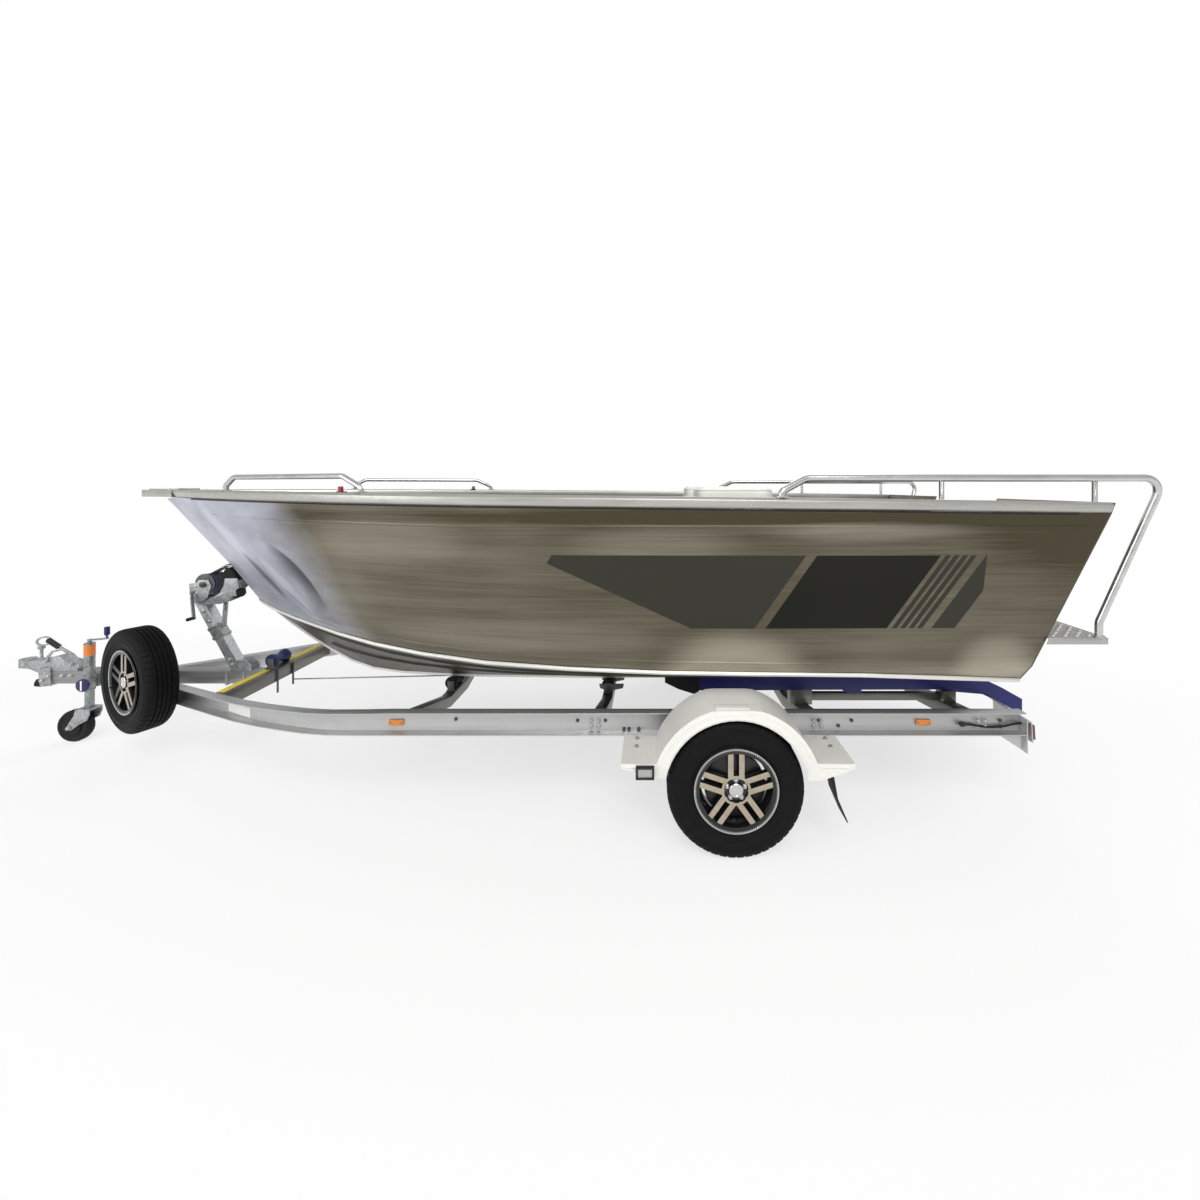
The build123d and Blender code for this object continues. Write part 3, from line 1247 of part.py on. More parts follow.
# ---------------------------------------------------------------- tail
tail_wall = 5.0
board_x = tail_x - fit
board_in = 516.0        # inner edge of each lamp board
board = slab_xz([(board_x, rail_top - 32), (board_x - 24, rail_top - 40),
                 (board_x - 30, rail_lo - 30), (board_x - 25, rail_lo - 30),
                 (board_x - 20, rail_top - 45), (board_x, rail_top - 37)], board_in, rail_y)
ends = []
for s in (1,):
    y0, y1 = sorted((s * (rail_y - rail_wide), s * rail_y))
    ends.append(box(tail_x - fit - tail_wall, tail_x - fit, y0, y1, rail_lo - 80, rail_top - 32))
    g0, g1 = sorted((s * (rail_y - 40), s * (rail_y - 35)))
    ends.append(slab_xz([(board_x, rail_lo - 20), (board_x, rail_lo + 50), (board_x - 27, rail_lo + 20),
                         (board_x - 27, rail_lo - 26)], g0, g1))
    ends.append(slab_xz([(board_x - 1, rail_lo - fit), (board_x + 105, rail_lo - fit),
                         (board_x + 105, rail_lo - 12), (board_x - 1, rail_lo - 80)], g0, g1))
light_board = fused([board] + ends)
keep("light_boards", light_board, mirror_y(light_board))
lamp_pairs = []
for s in (-1, 1):
    y0, y1 = sorted((s * (board_in + 8), s * (rail_y - 10)))
    lamp_pairs.append(slab_xz([(board_x - 30.6, rail_lo - 22), (board_x - 26.4, rail_lo + 44),
                               (board_x - 44, rail_lo + 44), (board_x - 48, rail_lo - 22)],
                              y0, y1))

# reflectors on the rails, rod and lead
refl = []
for x in (327.0, -2130.0):
    web = rail_y - rail_wide + rail_wall
    refl.append(box(x - 34, x + 34, web + fit, web + 8, rail_top - 74, rail_top - 48))
keep("trailer_lamps", *(lamps + lamp_pairs + refl + [mirror_y(r) for r in refl]))
lead_d = 10.0
lead_y = rail_y - rail_wide + rail_wall + fit + lead_d
gland_x = -2316.0
gland = box(gland_x, gland_x + 18, rail_y - rail_wide + rail_wall + fit, lead_y + 8, 402, 418)
lead_pts = [(gland_x - 0.3, lead_y, 410), (gland_x - 34, lead_y, 410), (-2396, lead_y, 400),
            (-2450, lead_y, 397), (-2504, lead_y, 402), (-2550, lead_y, 414),
            (tail_x, lead_y, 416)]
lead_r = [150, 150, 180, 170, 110]
lead = tube_path(lead_pts, lead_r, lead_d)
keep("tail_lead", lead, gland)

for name, shape in nodes.items():
    export_step(shape, "parts/" + name + ".step")
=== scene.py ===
"""Open aluminium fishing boat on its trailer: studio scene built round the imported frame."""

import json
import math

import bmesh
import bpy
from bpy.props import FloatProperty, FloatVectorProperty, PointerProperty
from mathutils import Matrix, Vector
from mathutils.bvhtree import BVHTree


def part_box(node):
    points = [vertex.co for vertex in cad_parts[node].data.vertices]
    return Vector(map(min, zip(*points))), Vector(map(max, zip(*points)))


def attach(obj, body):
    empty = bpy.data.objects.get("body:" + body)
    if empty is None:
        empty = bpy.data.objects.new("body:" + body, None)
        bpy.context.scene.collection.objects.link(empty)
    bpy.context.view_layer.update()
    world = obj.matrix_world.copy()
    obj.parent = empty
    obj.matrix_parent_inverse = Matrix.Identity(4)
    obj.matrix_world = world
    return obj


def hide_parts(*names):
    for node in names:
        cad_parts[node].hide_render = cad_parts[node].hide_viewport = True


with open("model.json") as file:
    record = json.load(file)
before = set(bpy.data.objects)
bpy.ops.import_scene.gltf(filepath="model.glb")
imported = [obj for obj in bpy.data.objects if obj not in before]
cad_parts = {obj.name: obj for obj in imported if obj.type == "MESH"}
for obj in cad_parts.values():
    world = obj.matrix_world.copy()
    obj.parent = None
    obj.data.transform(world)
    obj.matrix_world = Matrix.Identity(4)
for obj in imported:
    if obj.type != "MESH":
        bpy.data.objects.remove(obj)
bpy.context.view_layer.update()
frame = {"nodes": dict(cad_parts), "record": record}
NODES = frame["nodes"]
ROOT = "boat_on_trailer"
SIDES = (("port", 1.0), ("starboard", -1.0))

bl_info = {
    "name": "Boat on trailer",
    "version": (1, 0, 0),
    "blender": (4, 5, 0),
    "location": "View3D > Sidebar > Boat",
    "description": "Builds an aluminium fishing boat on its trailer round its packed frame",
    "category": "Object",
}


# ------------------------------------------------------------------ sizes and colours
def colour(name, value, text):
    return FloatVectorProperty(name=name, description=text, default=value, size=3,
                               subtype="COLOR", min=0.0, max=1.0)


def length(name, value, text):
    return FloatProperty(name=name, description=text, default=value, min=0.0, unit="LENGTH",
                         subtype="DISTANCE")


class HullLooks(bpy.types.PropertyGroup):
    # dark end of the side plate's tone: the alloy's colour, darkened to stand for the metal's
    # darker reflections (painted reflection)
    side: colour("Side plate", (0.074, 0.062, 0.037), "Brushed alloy of the hull side")
    # pale end of the side plate's tone: brushed streaks, painted sheen and painted highlights
    side_streak_and_sheen: colour("Side sheen", (0.41, 0.375, 0.300), "Pale streaks in the brushed alloy")
    # painted reflection: bluish tone of the rolled bow plate, also the tint of its painted
    # highlights
    bow: colour("Bow plate", (0.57, 0.59, 0.68), "Cooler alloy towards the bow")
    # painted dark reflection on the rolled bow plate
    bow_dark_reflection: colour("Bow shade", (0.085, 0.092, 0.108), "Deep tone of the rolled bow plate")
    band: colour("Side band", (0.042, 0.040, 0.031), "Charcoal of the decal on the side")
    band_dark: colour("Band shadow", (0.009, 0.009, 0.007), "Darkest panel of the decal")
    trim: colour("Extrusion", (0.46, 0.455, 0.425), "Gunwale extrusions")
    chine: colour("Chine", (0.80, 0.79, 0.75), "Chine and keel extrusions")
    deck: colour("Deck", (0.17, 0.175, 0.185), "Deck and floor covering")
    vinyl: colour("Vinyl", (0.76, 0.75, 0.70), "Covering of the seats")


class TrailerLooks(bpy.types.PropertyGroup):
    channel: colour("Rail channel", (0.53, 0.535, 0.53), "Alloy of the trailer's rails")
    cross: colour("Crossmember", (0.16, 0.155, 0.142), "Alloy of the crossmembers")
    zinc: colour("Galvanising", (0.40, 0.415, 0.415), "Hot dipped steel")
    poly: colour("Poly skid", (0.0060, 0.0065, 0.135), "Blue of the skids and rollers")
    guard: colour("Mudguard", (0.79, 0.785, 0.74), "Moulded mudguards")
    tyre: colour("Tyre", (0.0045, 0.0045, 0.0048), "Rubber of the tyres")
    alloy: colour("Spoke faces", (0.46, 0.40, 0.31), "Machined faces of the wheels")
    amber: colour("Amber", (0.80, 0.25, 0.02), "Side reflectors")
    lamp_red: colour("Tail lamp", (0.115, 0.012, 0.014), "Tail lamp lens")
    strip: colour("Tread strip", (0.68, 0.54, 0.055), "Yellow strip on the crossmember")
    orange: colour("Jockey band", (0.72, 0.20, 0.035), "Band round the jockey tube")


class StudioSizes(bpy.types.PropertyGroup):
    camera_x: FloatProperty(name="Camera along", description="Camera place along the boat",
                            default=-0.87, unit="LENGTH")
    camera_y: length("Camera distance", 3.10, "Camera place off the centre line")
    camera_z: length("Camera height", 1.518, "Camera above the floor")
    lens: FloatProperty(name="Lens", description="Focal length in millimetres", default=15.21,
                        min=5.0)
    bolt: length("Bolt head", 0.017, "Across the flats of the frame bolts")
    tread: length("Tread depth", 0.0065, "Depth of the tyre grooves")
    bead: length("Weld bead", 0.0042, "Width of the weld beads")


# ------------------------------------------------------------------ shader maths
class Val:
    """A node socket that takes part in arithmetic; each step adds its Math node."""

    def __init__(self, finish, socket):
        self.finish = finish
        self.socket = socket

    def _op(self, op, *others, swap=False, clamp=False):
        items = [self] + list(others)
        if swap:
            items.reverse()
        node = self.finish.add("ShaderNodeMath", {"operation": op, "use_clamp": clamp})
        for slot, item in zip(node.inputs, items):
            self.finish.feed(slot, item)
        return Val(self.finish, node.outputs[0])

    def __add__(self, other):
        return self._op("ADD", other)

    __radd__ = __add__

    def __sub__(self, other):
        return self._op("SUBTRACT", other)

    def __rsub__(self, other):
        return self._op("SUBTRACT", other, swap=True)

    def __mul__(self, other):
        return self._op("MULTIPLY", other)

    __rmul__ = __mul__

    def __truediv__(self, other):
        return self._op("DIVIDE", other)

    def high(self, other):
        return self._op("MAXIMUM", other)

    def wave(self):
        return self._op("SINE")

    def wrap(self, other):
        return self._op("FLOORED_MODULO", other)

    def clamp(self):
        return self._op("ADD", 0.0, clamp=True)

    def step(self, a, b):
        """0 below a, 1 above b, even between."""
        node = self.finish.add("ShaderNodeMapRange", {"clamp": True})
        self.finish.feed(node.inputs["Value"], self)
        node.inputs["From Min"].default_value = a
        node.inputs["From Max"].default_value = b
        return Val(self.finish, node.outputs["Result"])

    def band(self, a, b, soft):
        """1 between a and b with soft edges."""
        return self.step(a - soft, a + soft) * (1.0 - self.step(b - soft, b + soft))


class Finish:
    """A material under construction."""

    def __init__(self, name, **fixed):
        self.mat = bpy.data.materials.new(name)
        self.mat.use_nodes = True
        self.tree = self.mat.node_tree
        self.tree.nodes.clear()
        self.out = self.add("ShaderNodeOutputMaterial")
        self.bsdf = self.add("ShaderNodeBsdfPrincipled")
        self.tree.links.new(self.bsdf.outputs[0], self.out.inputs[0])
        self.coords = self.add("ShaderNodeTexCoord").outputs["Object"]
        for key, value in fixed.items():
            self.set(key.replace("_", " "), value)

    def add(self, kind, settings=None, **inputs):
        node = self.tree.nodes.new(kind)
        for key, value in (settings or {}).items():
            setattr(node, key, value)
        for key, value in inputs.items():
            self.feed(node.inputs[key.replace("_", " ")], value)
        return node

    def feed(self, socket, value):
        if isinstance(value, Val):
            self.tree.links.new(value.socket, socket)
        elif isinstance(value, bpy.types.NodeSocket):
            self.tree.links.new(value, socket)
        elif isinstance(value, (int, float)):
            socket.default_value = value
        else:
            value = tuple(value)
            if len(value) == 3 and socket.type == "RGBA":
                value = value + (1.0,)
            socket.default_value = value

    def set(self, key, value):
        self.feed(self.bsdf.inputs[key], value)

    def places(self):
        """Object coordinates in metres: x, y and z."""
        split = self.add("ShaderNodeSeparateXYZ", Vector=self.coords)
        return [Val(self, socket) for socket in split.outputs]

    def stretched(self, factors):
        node = self.add("ShaderNodeVectorMath", {"operation": "MULTIPLY"})
        self.feed(node.inputs[0], self.coords)
        node.inputs[1].default_value = factors
        return node.outputs[0]

    def noise(self, scale, detail=2.0, rough=0.5, factors=(1.0, 1.0, 1.0)):
        node = self.add("ShaderNodeTexNoise", Vector=self.stretched(factors), Scale=scale,
                        Detail=detail, Roughness=rough)
        return Val(self, node.outputs["Fac"])

    def cells(self, scale, output="Distance"):
        node = self.add("ShaderNodeTexVoronoi", Vector=self.coords, Scale=scale)
        return node.outputs[output]

    def spot(self, cx, cz, rx, rz, lean=0.0):
        """1 at the middle of an oval on the side, falling to 0 at its edge."""
        x, _, z = self.places()
        u, v = x - cx, z - cz
        c, s = math.cos(lean), math.sin(lean)
        a, b = (u * c + v * s) / rx, (v * c - u * s) / rz
        k = (1.0 - (a * a + b * b)).clamp()
        return k * k * (3.0 - 2.0 * k)

    def mix(self, fac, a, b):
        node = self.add("ShaderNodeMix", {"data_type": "RGBA"})
        self.feed(node.inputs["Factor"], fac)
        self.feed(node.inputs[6], a)
        self.feed(node.inputs[7], b)
        return node.outputs[2]

    def tone(self, fac, tint, low, high):
        """Between two strengths of one tint."""
        return self.mix(fac, scaled(tint, low), scaled(tint, high))

    def surface(self, base, rough, *bumps):
        """Colour and roughness, and bumps given as height, distance and strength."""
        self.set("Base Color", base)
        self.set("Roughness", rough)
        for bump in bumps:
            self.bump(*bump)
        return self

    def bump(self, height, distance, strength):
        prior = self.bsdf.inputs["Normal"]
        node = self.add("ShaderNodeBump")
        node.inputs["Strength"].default_value = strength
        node.inputs["Distance"].default_value = distance
        self.feed(node.inputs["Height"], height)
        if prior.is_linked:
            self.tree.links.new(prior.links[0].from_socket, node.inputs["Normal"])
        self.tree.links.new(node.outputs[0], prior)


def scaled(tint, k):
    return tuple(min(1.0, c * k) for c in tint)


# ------------------------------------------------------------------ finishes
FINISH = {}


def finish(name):
    """The named material, made on first use."""
    if name not in FINISH:
        FINISH[name] = MAKERS[name]().mat
    return FINISH[name]


def hull():
    return bpy.context.scene.boat_hull


def trailer():
    return bpy.context.scene.boat_trailer


BAND_AFT, BAND_NOSE = -2.31, -0.45      # ends of the side decal along the hull
BAND_LOW, BAND_HIGH = 0.915, 1.232      # and its heights
SLANT, EDGE = 0.20, 0.0016              # lean of its joints over its height, softness of its edges
WEDGE_AFT, PANEL_FORE, PANEL_AFT = -1.30, -1.345, -1.86
BARS_FORE, BARS_AFT, BAR_PITCH, BAR_GAP = -1.88, -2.022, 0.036, 0.013
TAIL_GAP, TIP_LEAN = 0.028, 0.30


def side_decal(x, z):
    """Masks of the decal: all of it, and its dark panel."""
    rise = (z - BAND_LOW) / (BAND_HIGH - BAND_LOW)
    lean = x + rise * SLANT
    tall = z.band(BAND_LOW, BAND_HIGH, 0.0015)
    under = (rise * 0.88 - lean - 1.03).step(-0.004, 0.004)
    wedge = lean.band(WEDGE_AFT, BAND_NOSE + SLANT, EDGE) * under
    wedge = wedge.high(lean.band(WEDGE_AFT, -1.06, EDGE) * tall)
    panel = lean.band(PANEL_AFT, PANEL_FORE, EDGE)
    comb = (lean - BARS_FORE).wrap(-BAR_PITCH).step(BAR_GAP - BAR_PITCH - 0.001,
                                                    BAR_GAP - BAR_PITCH + 0.001)
    bars = lean.band(BARS_AFT, BARS_FORE, EDGE) * comb
    tail = (lean.band(BAND_AFT + 0.16, BARS_AFT - TAIL_GAP, EDGE)
            * (x - (BAND_AFT + 0.055)).step(0.0, 0.002))
    for turn in (1.0, -1.0):
        foot = BAND_AFT - TIP_LEAN * (1.0 - turn) / 2
        tail = tail * (x + rise * TIP_LEAN * turn - foot).step(-0.002, 0.002)
    whole = (wedge + panel + bars + tail).clamp() * tall
    return whole, panel * tall


# middle along and up, reach along and up, and strength of the painted highlights: pale fields of
# painted sheen on the side plate
PAINTED_HIGHLIGHTS = ((-1.22, 0.68, 0.34, 0.24, 0.95), (-0.88, 1.27, 0.42, 0.09, 0.28),
         (0.28, 1.28, 0.42, 0.15, 0.26), (-2.35, 0.74, 0.20, 0.16, 0.55),
         (-1.75, 1.33, 0.45, 0.045, 0.30), (-0.25, 0.86, 0.75, 0.09, 0.22),
         (0.62, 1.05, 0.24, 0.34, 0.14))
BOW_X, BOW_Z = 0.862, 1.086             # middle of the reflection on the rolled bow plate
BOW_RUN, BOW_RISE = 0.695, 0.719        # and its direction


def make_side_plate():
    f = Finish("side_plate")
    x, _, z = f.places()
    look = hull()
    grain = f.noise(30.0, 6.0, 0.62, (0.07, 0.07, 3.0))
    streak = f.noise(2.3, 4.0, 0.6, (0.30, 0.30, 6.0))
    cloud = f.noise(1.3, 3.0, 0.5, (1.0, 1.0, 1.6))
    sheen = f.noise(0.9, 2.0, 0.4, (1.0, 1.0, 0.4))
    # tone: real brushed grain, streaks and cloud, plus a broad painted sheen noise
    tone = streak * 0.42 + cloud * 0.22 + grain * 0.40 + sheen * 0.55 - 0.645
    # painted highlights: pale ovals added to the tone
    for cx, cz, rx, rz, k in PAINTED_HIGHLIGHTS:
        glow = f.spot(cx, cz, rx * 1.25, rz * 1.25)
        tone = tone + glow * glow * k
    # painted shade: darker band just beneath the gunwale
    tone = tone - z.band(1.362, 1.412, 0.012) * (0.10 + cloud * 0.30)
    # painted reflection: paler band low on the side above the chine, fading out towards the bow
    tone = tone + z.band(0.60, 0.745, 0.03) * (1.0 - x.step(0.3, 0.8)) * (0.16 + streak * 0.2)
    # painted dark reflection high on the side towards the stern
    tone = tone - f.spot(-2.62, 1.38, 0.60, 0.30) * 0.22
    base = f.mix(tone.clamp(), look.side, look.side_streak_and_sheen)
    # rolled bow plate: painted bluish reflection with painted highlights, and a painted dark
    # reflection with a sharp edge along its border
    border = x - 0.66 - (z - 0.93) * 0.49
    flow = f.noise(4.5, 4.0, 0.6, (0.6, 1.0, 1.4))
    bow_reflection = (border + flow * 0.16 - 0.08).step(-0.16, 0.24)
    u, v = x - BOW_X, z - BOW_Z
    along, across = u * BOW_RUN + v * BOW_RISE, v * BOW_RUN - u * BOW_RISE
    inside = along * along * -0.95 + 0.046 - across
    taper = (1.0 - along * along * 18.0).high(0.0)
    # lens: the painted dark reflection, a crescent with a sharp edge
    lens = inside.step(0.0, 0.010) * (0.115 - inside).step(0.0, 0.095) * taper
    # painted dark reflection streaks near the stem
    dark_reflection_streaks = f.spot(1.15, 1.05, 0.21, 0.032, 0.74) + f.spot(0.93, 0.93, 0.16, 0.010, 0.62) * 0.5
    shine = f.tone((flow * 1.4 - 0.25).clamp(), look.bow, 0.62, 1.22)
    base = f.mix(bow_reflection * 0.94, base, shine)
    # painted highlights on the rolled bow plate
    base = f.mix(f.spot(0.98, 1.00, 0.26, 0.050, 0.76) * 0.75, base, scaled(look.bow, 1.30))
    base = f.mix(f.spot(1.36, 1.26, 0.30, 0.060, 0.80) * 0.60, base, scaled(look.bow, 1.25))
    base = f.mix((lens * 1.1 + dark_reflection_streaks * 0.8).clamp(), base, look.bow_dark_reflection)
    whole, panel = side_decal(x, z)
    film = f.mix(panel, look.band, look.band_dark)
    base = f.mix(whole, base, f.mix(cloud * 0.35, film, scaled(look.band, 1.2)))
    f.set("Metallic", 0.86 - whole * 0.08)
    return f.surface(base, 0.30 + grain * 0.20 + whole * 0.02, (grain, 0.0006, 0.28),
                     (cloud, 0.02, 0.20))


def make_plain_plate(name="plain_plate", low=1.0, high=0.42):
    f = Finish(name, Metallic=0.84)
    look = hull()
    x, _, _ = f.places()
    streak = f.noise(5.0, 4.0, 0.6, (0.3, 3.0, 3.0))
    spot = f.noise(18.0, 3.0, 0.7)
    base = f.mix(streak, scaled(look.side, low), scaled(look.side_streak_and_sheen, high))
    # painted bluish reflection of the bow, carried onto the plain plate towards the bow
    base = f.mix(x.step(0.7, 1.3) * 0.5, base, scaled(look.bow, high))
    pale = scaled(look.side_streak_and_sheen, high * 1.4)
    return f.surface(f.mix(spot.step(0.62, 0.80) * 0.4, base, pale), 0.34 + spot * 0.20,
                     (f.noise(70.0, 3.0, 0.6, (0.1, 1.0, 1.0)), 0.0005, 0.3))


def make_drawn(name, tint, low=0.84, high=1.14, metal=0.75):
    """Extruded alloy: fine die lines along its length and a little handling wear."""
    f = Finish(name, Metallic=metal)
    line = f.noise(46.0, 4.0, 0.55, (0.05, 2.0, 2.0))
    wear = f.noise(7.0, 4.0, 0.65)
    spot = f.noise(2.0, 3.0, 0.6, (1.0, 1.0, 0.5))
    blend = (line * 0.55 + wear * 0.35 + spot * 0.5 - 0.18).clamp()
    return f.surface(f.tone(blend, tint, low, high), 0.26 + wear * 0.22, (line, 0.0006, 0.35))


def make_cross():
    f = make_drawn("crossmember", trailer().cross, 0.60, 1.7, 0.80)
    f.bump(f.noise(120.0, 2.0, 0.5), 0.0003, 0.3)
    return f


def make_zinc(name="zinc", k=0.85):
    f = Finish(name, Metallic=0.78)
    tint = scaled(trailer().zinc, k)
    split = f.add("ShaderNodeSeparateColor", Color=f.cells(130.0, "Color"))
    tone = Val(f, split.outputs[0])
    cloud = f.noise(14.0, 5.0, 0.70)
    wet = f.noise(38.0, 4.0, 0.6).step(0.58, 0.80)
    blend = (tone * 0.45 + cloud * 1.15 - 0.32).clamp()
    base = f.tone(blend, tint, 0.42, 1.50)
    return f.surface(f.mix(wet * 0.45, base, scaled(tint, 1.95)),
                     0.32 + tone * 0.16 + cloud * 0.14, (cloud, 0.0016, 0.5))


def make_hazed(name, haze, low, high, rough, bump, **fixed):
    """Two colours blended by one noise; bump is distance, strength and its own noise if any."""
    f = Finish(name, **fixed)
    tone = f.noise(*haze)
    return f.surface(f.mix(tone, low, high), rough[0] + tone * rough[1],
                     (f.noise(*bump[2]) if len(bump) > 2 else tone, bump[0], bump[1]))


def make_tyre():
    f = Finish("tyre", Specular_IOR_Level=0.14)
    tint = trailer().tyre
    dust = f.noise(16.0, 5.0, 0.65)
    return f.surface(f.mix(dust.step(0.50, 0.85) * 0.5, tint, scaled(tint, 3.0)),
                     0.50 + dust * 0.24, (f.noise(340.0, 2.0, 0.6), 0.0004, 0.35))


def make_moulded(name, tint, spread=1.9, gloss=0.40):
    """Moulded plastic: fine grain, a little dust and scuffing."""
    f = Finish(name)
    grain = f.noise(420.0, 2.0, 0.5)
    scuff = f.noise(22.0, 5.0, 0.68, (0.4, 1.0, 1.0))
    return f.surface(f.mix(scuff.step(0.48, 0.85) * 0.7, tint, scaled(tint, spread)),
                     gloss + grain * 0.12 + scuff * 0.10, (grain, 0.0003, 0.3),
                     (scuff, 0.0008, 0.2))


def make_guard():
    f = Finish("guard_moulding", Coat_Roughness=0.2)
    tint = trailer().guard
    _, _, z = f.places()
    haze = f.noise(5.0, 4.0, 0.6)
    peel = f.noise(90.0, 2.0, 0.5)
    grit = (0.50 - z).step(0.0, 0.2) * f.noise(70.0, 4.0, 0.7).step(0.52, 0.75)
    base = f.tone(haze, tint, 0.90, 1.03)
    f.set("Coat Weight", 0.25 - grit * 0.15)
    return f.surface(f.mix(grit * 0.22, base, (0.42, 0.38, 0.30)),
                     0.28 + haze * 0.12 + grit * 0.2, (haze, 0.003, 0.2), (peel, 0.0003, 0.25))


def make_vinyl():
    f = Finish("seat_vinyl", Sheen_Weight=0.08)
    tint = hull().vinyl
    fold = f.noise(9.0, 4.0, 0.6)
    soil = f.noise(26.0, 4.0, 0.7).step(0.55, 0.85)
    base = f.tone(fold, tint, 0.86, 1.04)
    return f.surface(f.mix(soil * 0.22, base, scaled(tint, 0.72)), 0.40 + fold * 0.16,
                     (f.cells(520.0), 0.0005, 0.5), (fold, 0.004, 0.25))


def make_spoke():
    f = Finish("spoke_face", Metallic=0.88)
    tint = trailer().alloy
    turn = f.noise(150.0, 3.0, 0.6)
    haze = f.noise(24.0, 3.0, 0.6)
    return f.surface(f.tone((turn * 0.6 + haze * 0.6 - 0.1).clamp(), tint, 0.55, 1.45),
                     0.26 + turn * 0.16, (turn, 0.0002, 0.3))


def make_lens(name, tint):
    f = Finish(name, IOR=1.49, Coat_Roughness=0.05)
    x, _, z = f.places()
    rib = (x * 900.0).wave() * 0.5 + 0.5
    net = ((z * 900.0).wave() * 0.5 + 0.5) * rib
    f.set("Coat Weight", 0.6 + net * 0.1)
    return f.surface(f.tone(net, tint, 0.7, 1.15), 0.14 + net * 0.1, (net, 0.0006, 0.4))


def make_deck():
    f = Finish("deck_carpet", Sheen_Weight=0.15)
    tint = hull().deck
    fleck = f.noise(900.0, 2.0, 0.7)
    pile = f.noise(260.0, 3.0, 0.6)
    wear = f.noise(3.0, 4.0, 0.6)
    base = f.tone(fleck.step(0.35, 0.65), tint, 0.45, 1.30)
    return f.surface(f.mix(wear.step(0.5, 0.8) * 0.35, base, scaled(tint, 1.45)),
                     0.86 + wear * 0.08, (fleck, 0.0014, 0.7), (pile, 0.0020, 0.5))


def make_webbing(name, tint):
    """Woven strap: a tight weave with slightly paler edges to its threads."""
    f = Finish(name, Sheen_Weight=0.2)
    x, y, z = f.places()
    weft = (z * 2600.0 + x * 900.0).wave() * 0.5 + 0.5
    warp = (y * 2600.0).wave() * 0.5 + 0.5
    weave = weft * warp
    return f.surface(f.tone(weave, tint, 0.55, 1.6), 0.70 + weave * 0.2, (weave, 0.0005, 0.6))


def make_strip():
    f = Finish("tread_strip")
    tint = trailer().strip
    grit = f.noise(600.0, 2.0, 0.6)
    wear = f.noise(18.0, 4.0, 0.7)
    return f.surface(f.mix(wear.step(0.55, 0.8) * 0.6, tint, scaled(tint, 0.55)),
                     0.62 + grit * 0.2, (grit, 0.0008, 0.6))


MAKERS = {
    "side_plate": make_side_plate, "plain_plate": make_plain_plate,
    # bottom plates: a darker copy of the plain plate, painted shade of the hull's underside
    "bottom_plate": lambda: make_plain_plate("bottom_plate", 0.45, 0.21),
    "extrusion": lambda: make_drawn("extrusion", hull().trim, 0.72, 1.28, 0.78),
    "chine": lambda: make_drawn("chine", hull().chine, 0.80, 1.12, 0.55),
    "channel": lambda: make_drawn("channel", trailer().channel, 0.76, 1.18),
    "drawbar": lambda: make_drawn("drawbar_alloy", (0.31, 0.31, 0.305), 0.62, 1.35),
    "cross": make_cross, "zinc": make_zinc, "zinc_pale": lambda: make_zinc("zinc_pale", 1.0),
    "zinc_dark": lambda: make_zinc("zinc_dark", 0.28),
    "polished": lambda: make_hazed("polished_tube", (26.0, 3.0, 0.6, (0.3, 1.0, 1.0)),
                                   (0.44, 0.44, 0.43), (0.76, 0.76, 0.75), (0.15, 0.16),
                                   (0.0003, 0.2), Metallic=0.95),
    "steel": lambda: make_hazed("bolt_steel", (220.0, 3.0, 0.6), (0.30, 0.30, 0.31),
                                (0.66, 0.66, 0.66), (0.22, 0.22), (0.0002, 0.3), Metallic=0.95),
    "tread_plate": lambda: make_hazed("tread_plate", (14.0, 4.0, 0.6), (0.34, 0.335, 0.325),
                                      (0.56, 0.555, 0.54), (0.30, 0.2),
                                      (0.0004, 0.4, (160.0, 3.0, 0.6)), Metallic=0.8),
    "rubber": lambda: make_hazed("rubber", (30.0, 4.0, 0.6), (0.008, 0.008, 0.009),
                                 (0.028, 0.028, 0.028), (0.55, 0.24),
                                 (0.0004, 0.4, (240.0, 2.0, 0.5)), Specular_IOR_Level=0.16),
    "tyre": make_tyre,
    "black": lambda: make_moulded("black_moulding", (0.010, 0.010, 0.011)),
    "rim_black": lambda: make_moulded("rim_enamel", (0.007, 0.007, 0.0075), 2.2, 0.18),
    "poly": lambda: make_moulded("blue_poly", tuple(trailer().poly), 1.7, 0.34),
    "poly_dark": lambda: make_moulded("navy_poly", (0.006, 0.013, 0.080), 1.6, 0.34),
    "orange": lambda: make_moulded("orange_band", tuple(trailer().orange), 1.2, 0.40),
    "label": lambda: make_moulded("blank_label", (0.80, 0.80, 0.78), 0.86, 0.30),
    "guard": make_guard, "vinyl": make_vinyl, "spoke": make_spoke, "deck": make_deck,
    "strap": lambda: make_webbing("strap_black", (0.012, 0.012, 0.014)),
    "strap_blue": lambda: make_webbing("strap_blue", (0.012, 0.055, 0.200)),
    "strip": make_strip,
    "amber": lambda: make_lens("amber_lens", tuple(trailer().amber)),
    "red": lambda: make_lens("red_lens", tuple(trailer().lamp_red)),
    "clear": lambda: make_lens("clear_lens", (0.42, 0.42, 0.40)),
    "green": lambda: make_lens("green_lens", (0.02, 0.20, 0.06)),
    "nav_red": lambda: make_lens("nav_red_lens", (0.40, 0.015, 0.03)),
}


# ------------------------------------------------------------------ mesh helpers
def circle(radius, count, turn=0.0):
    return [(radius * math.cos(turn + math.tau * i / count),
             radius * math.sin(turn + math.tau * i / count)) for i in range(count)]


def frame_of(axis):
    """Two directions square to the axis and to each other."""
    w = Vector(axis).normalized()
    u = w.cross(Vector((0, 0, 1)) if abs(w.z) < 0.9 else Vector((1, 0, 0))).normalized()
    return u, w.cross(u), w


RIB_OUTLINE = ((-1.0, 0.0), (-0.8, 0.62), (-0.35, 1.0), (0.35, 1.0), (0.8, 0.62), (1.0, 0.0))
BEAD_OUTLINE = ((-1.0, 0.0), (-0.6, 0.8), (0.0, 1.0), (0.6, 0.8), (1.0, 0.0))


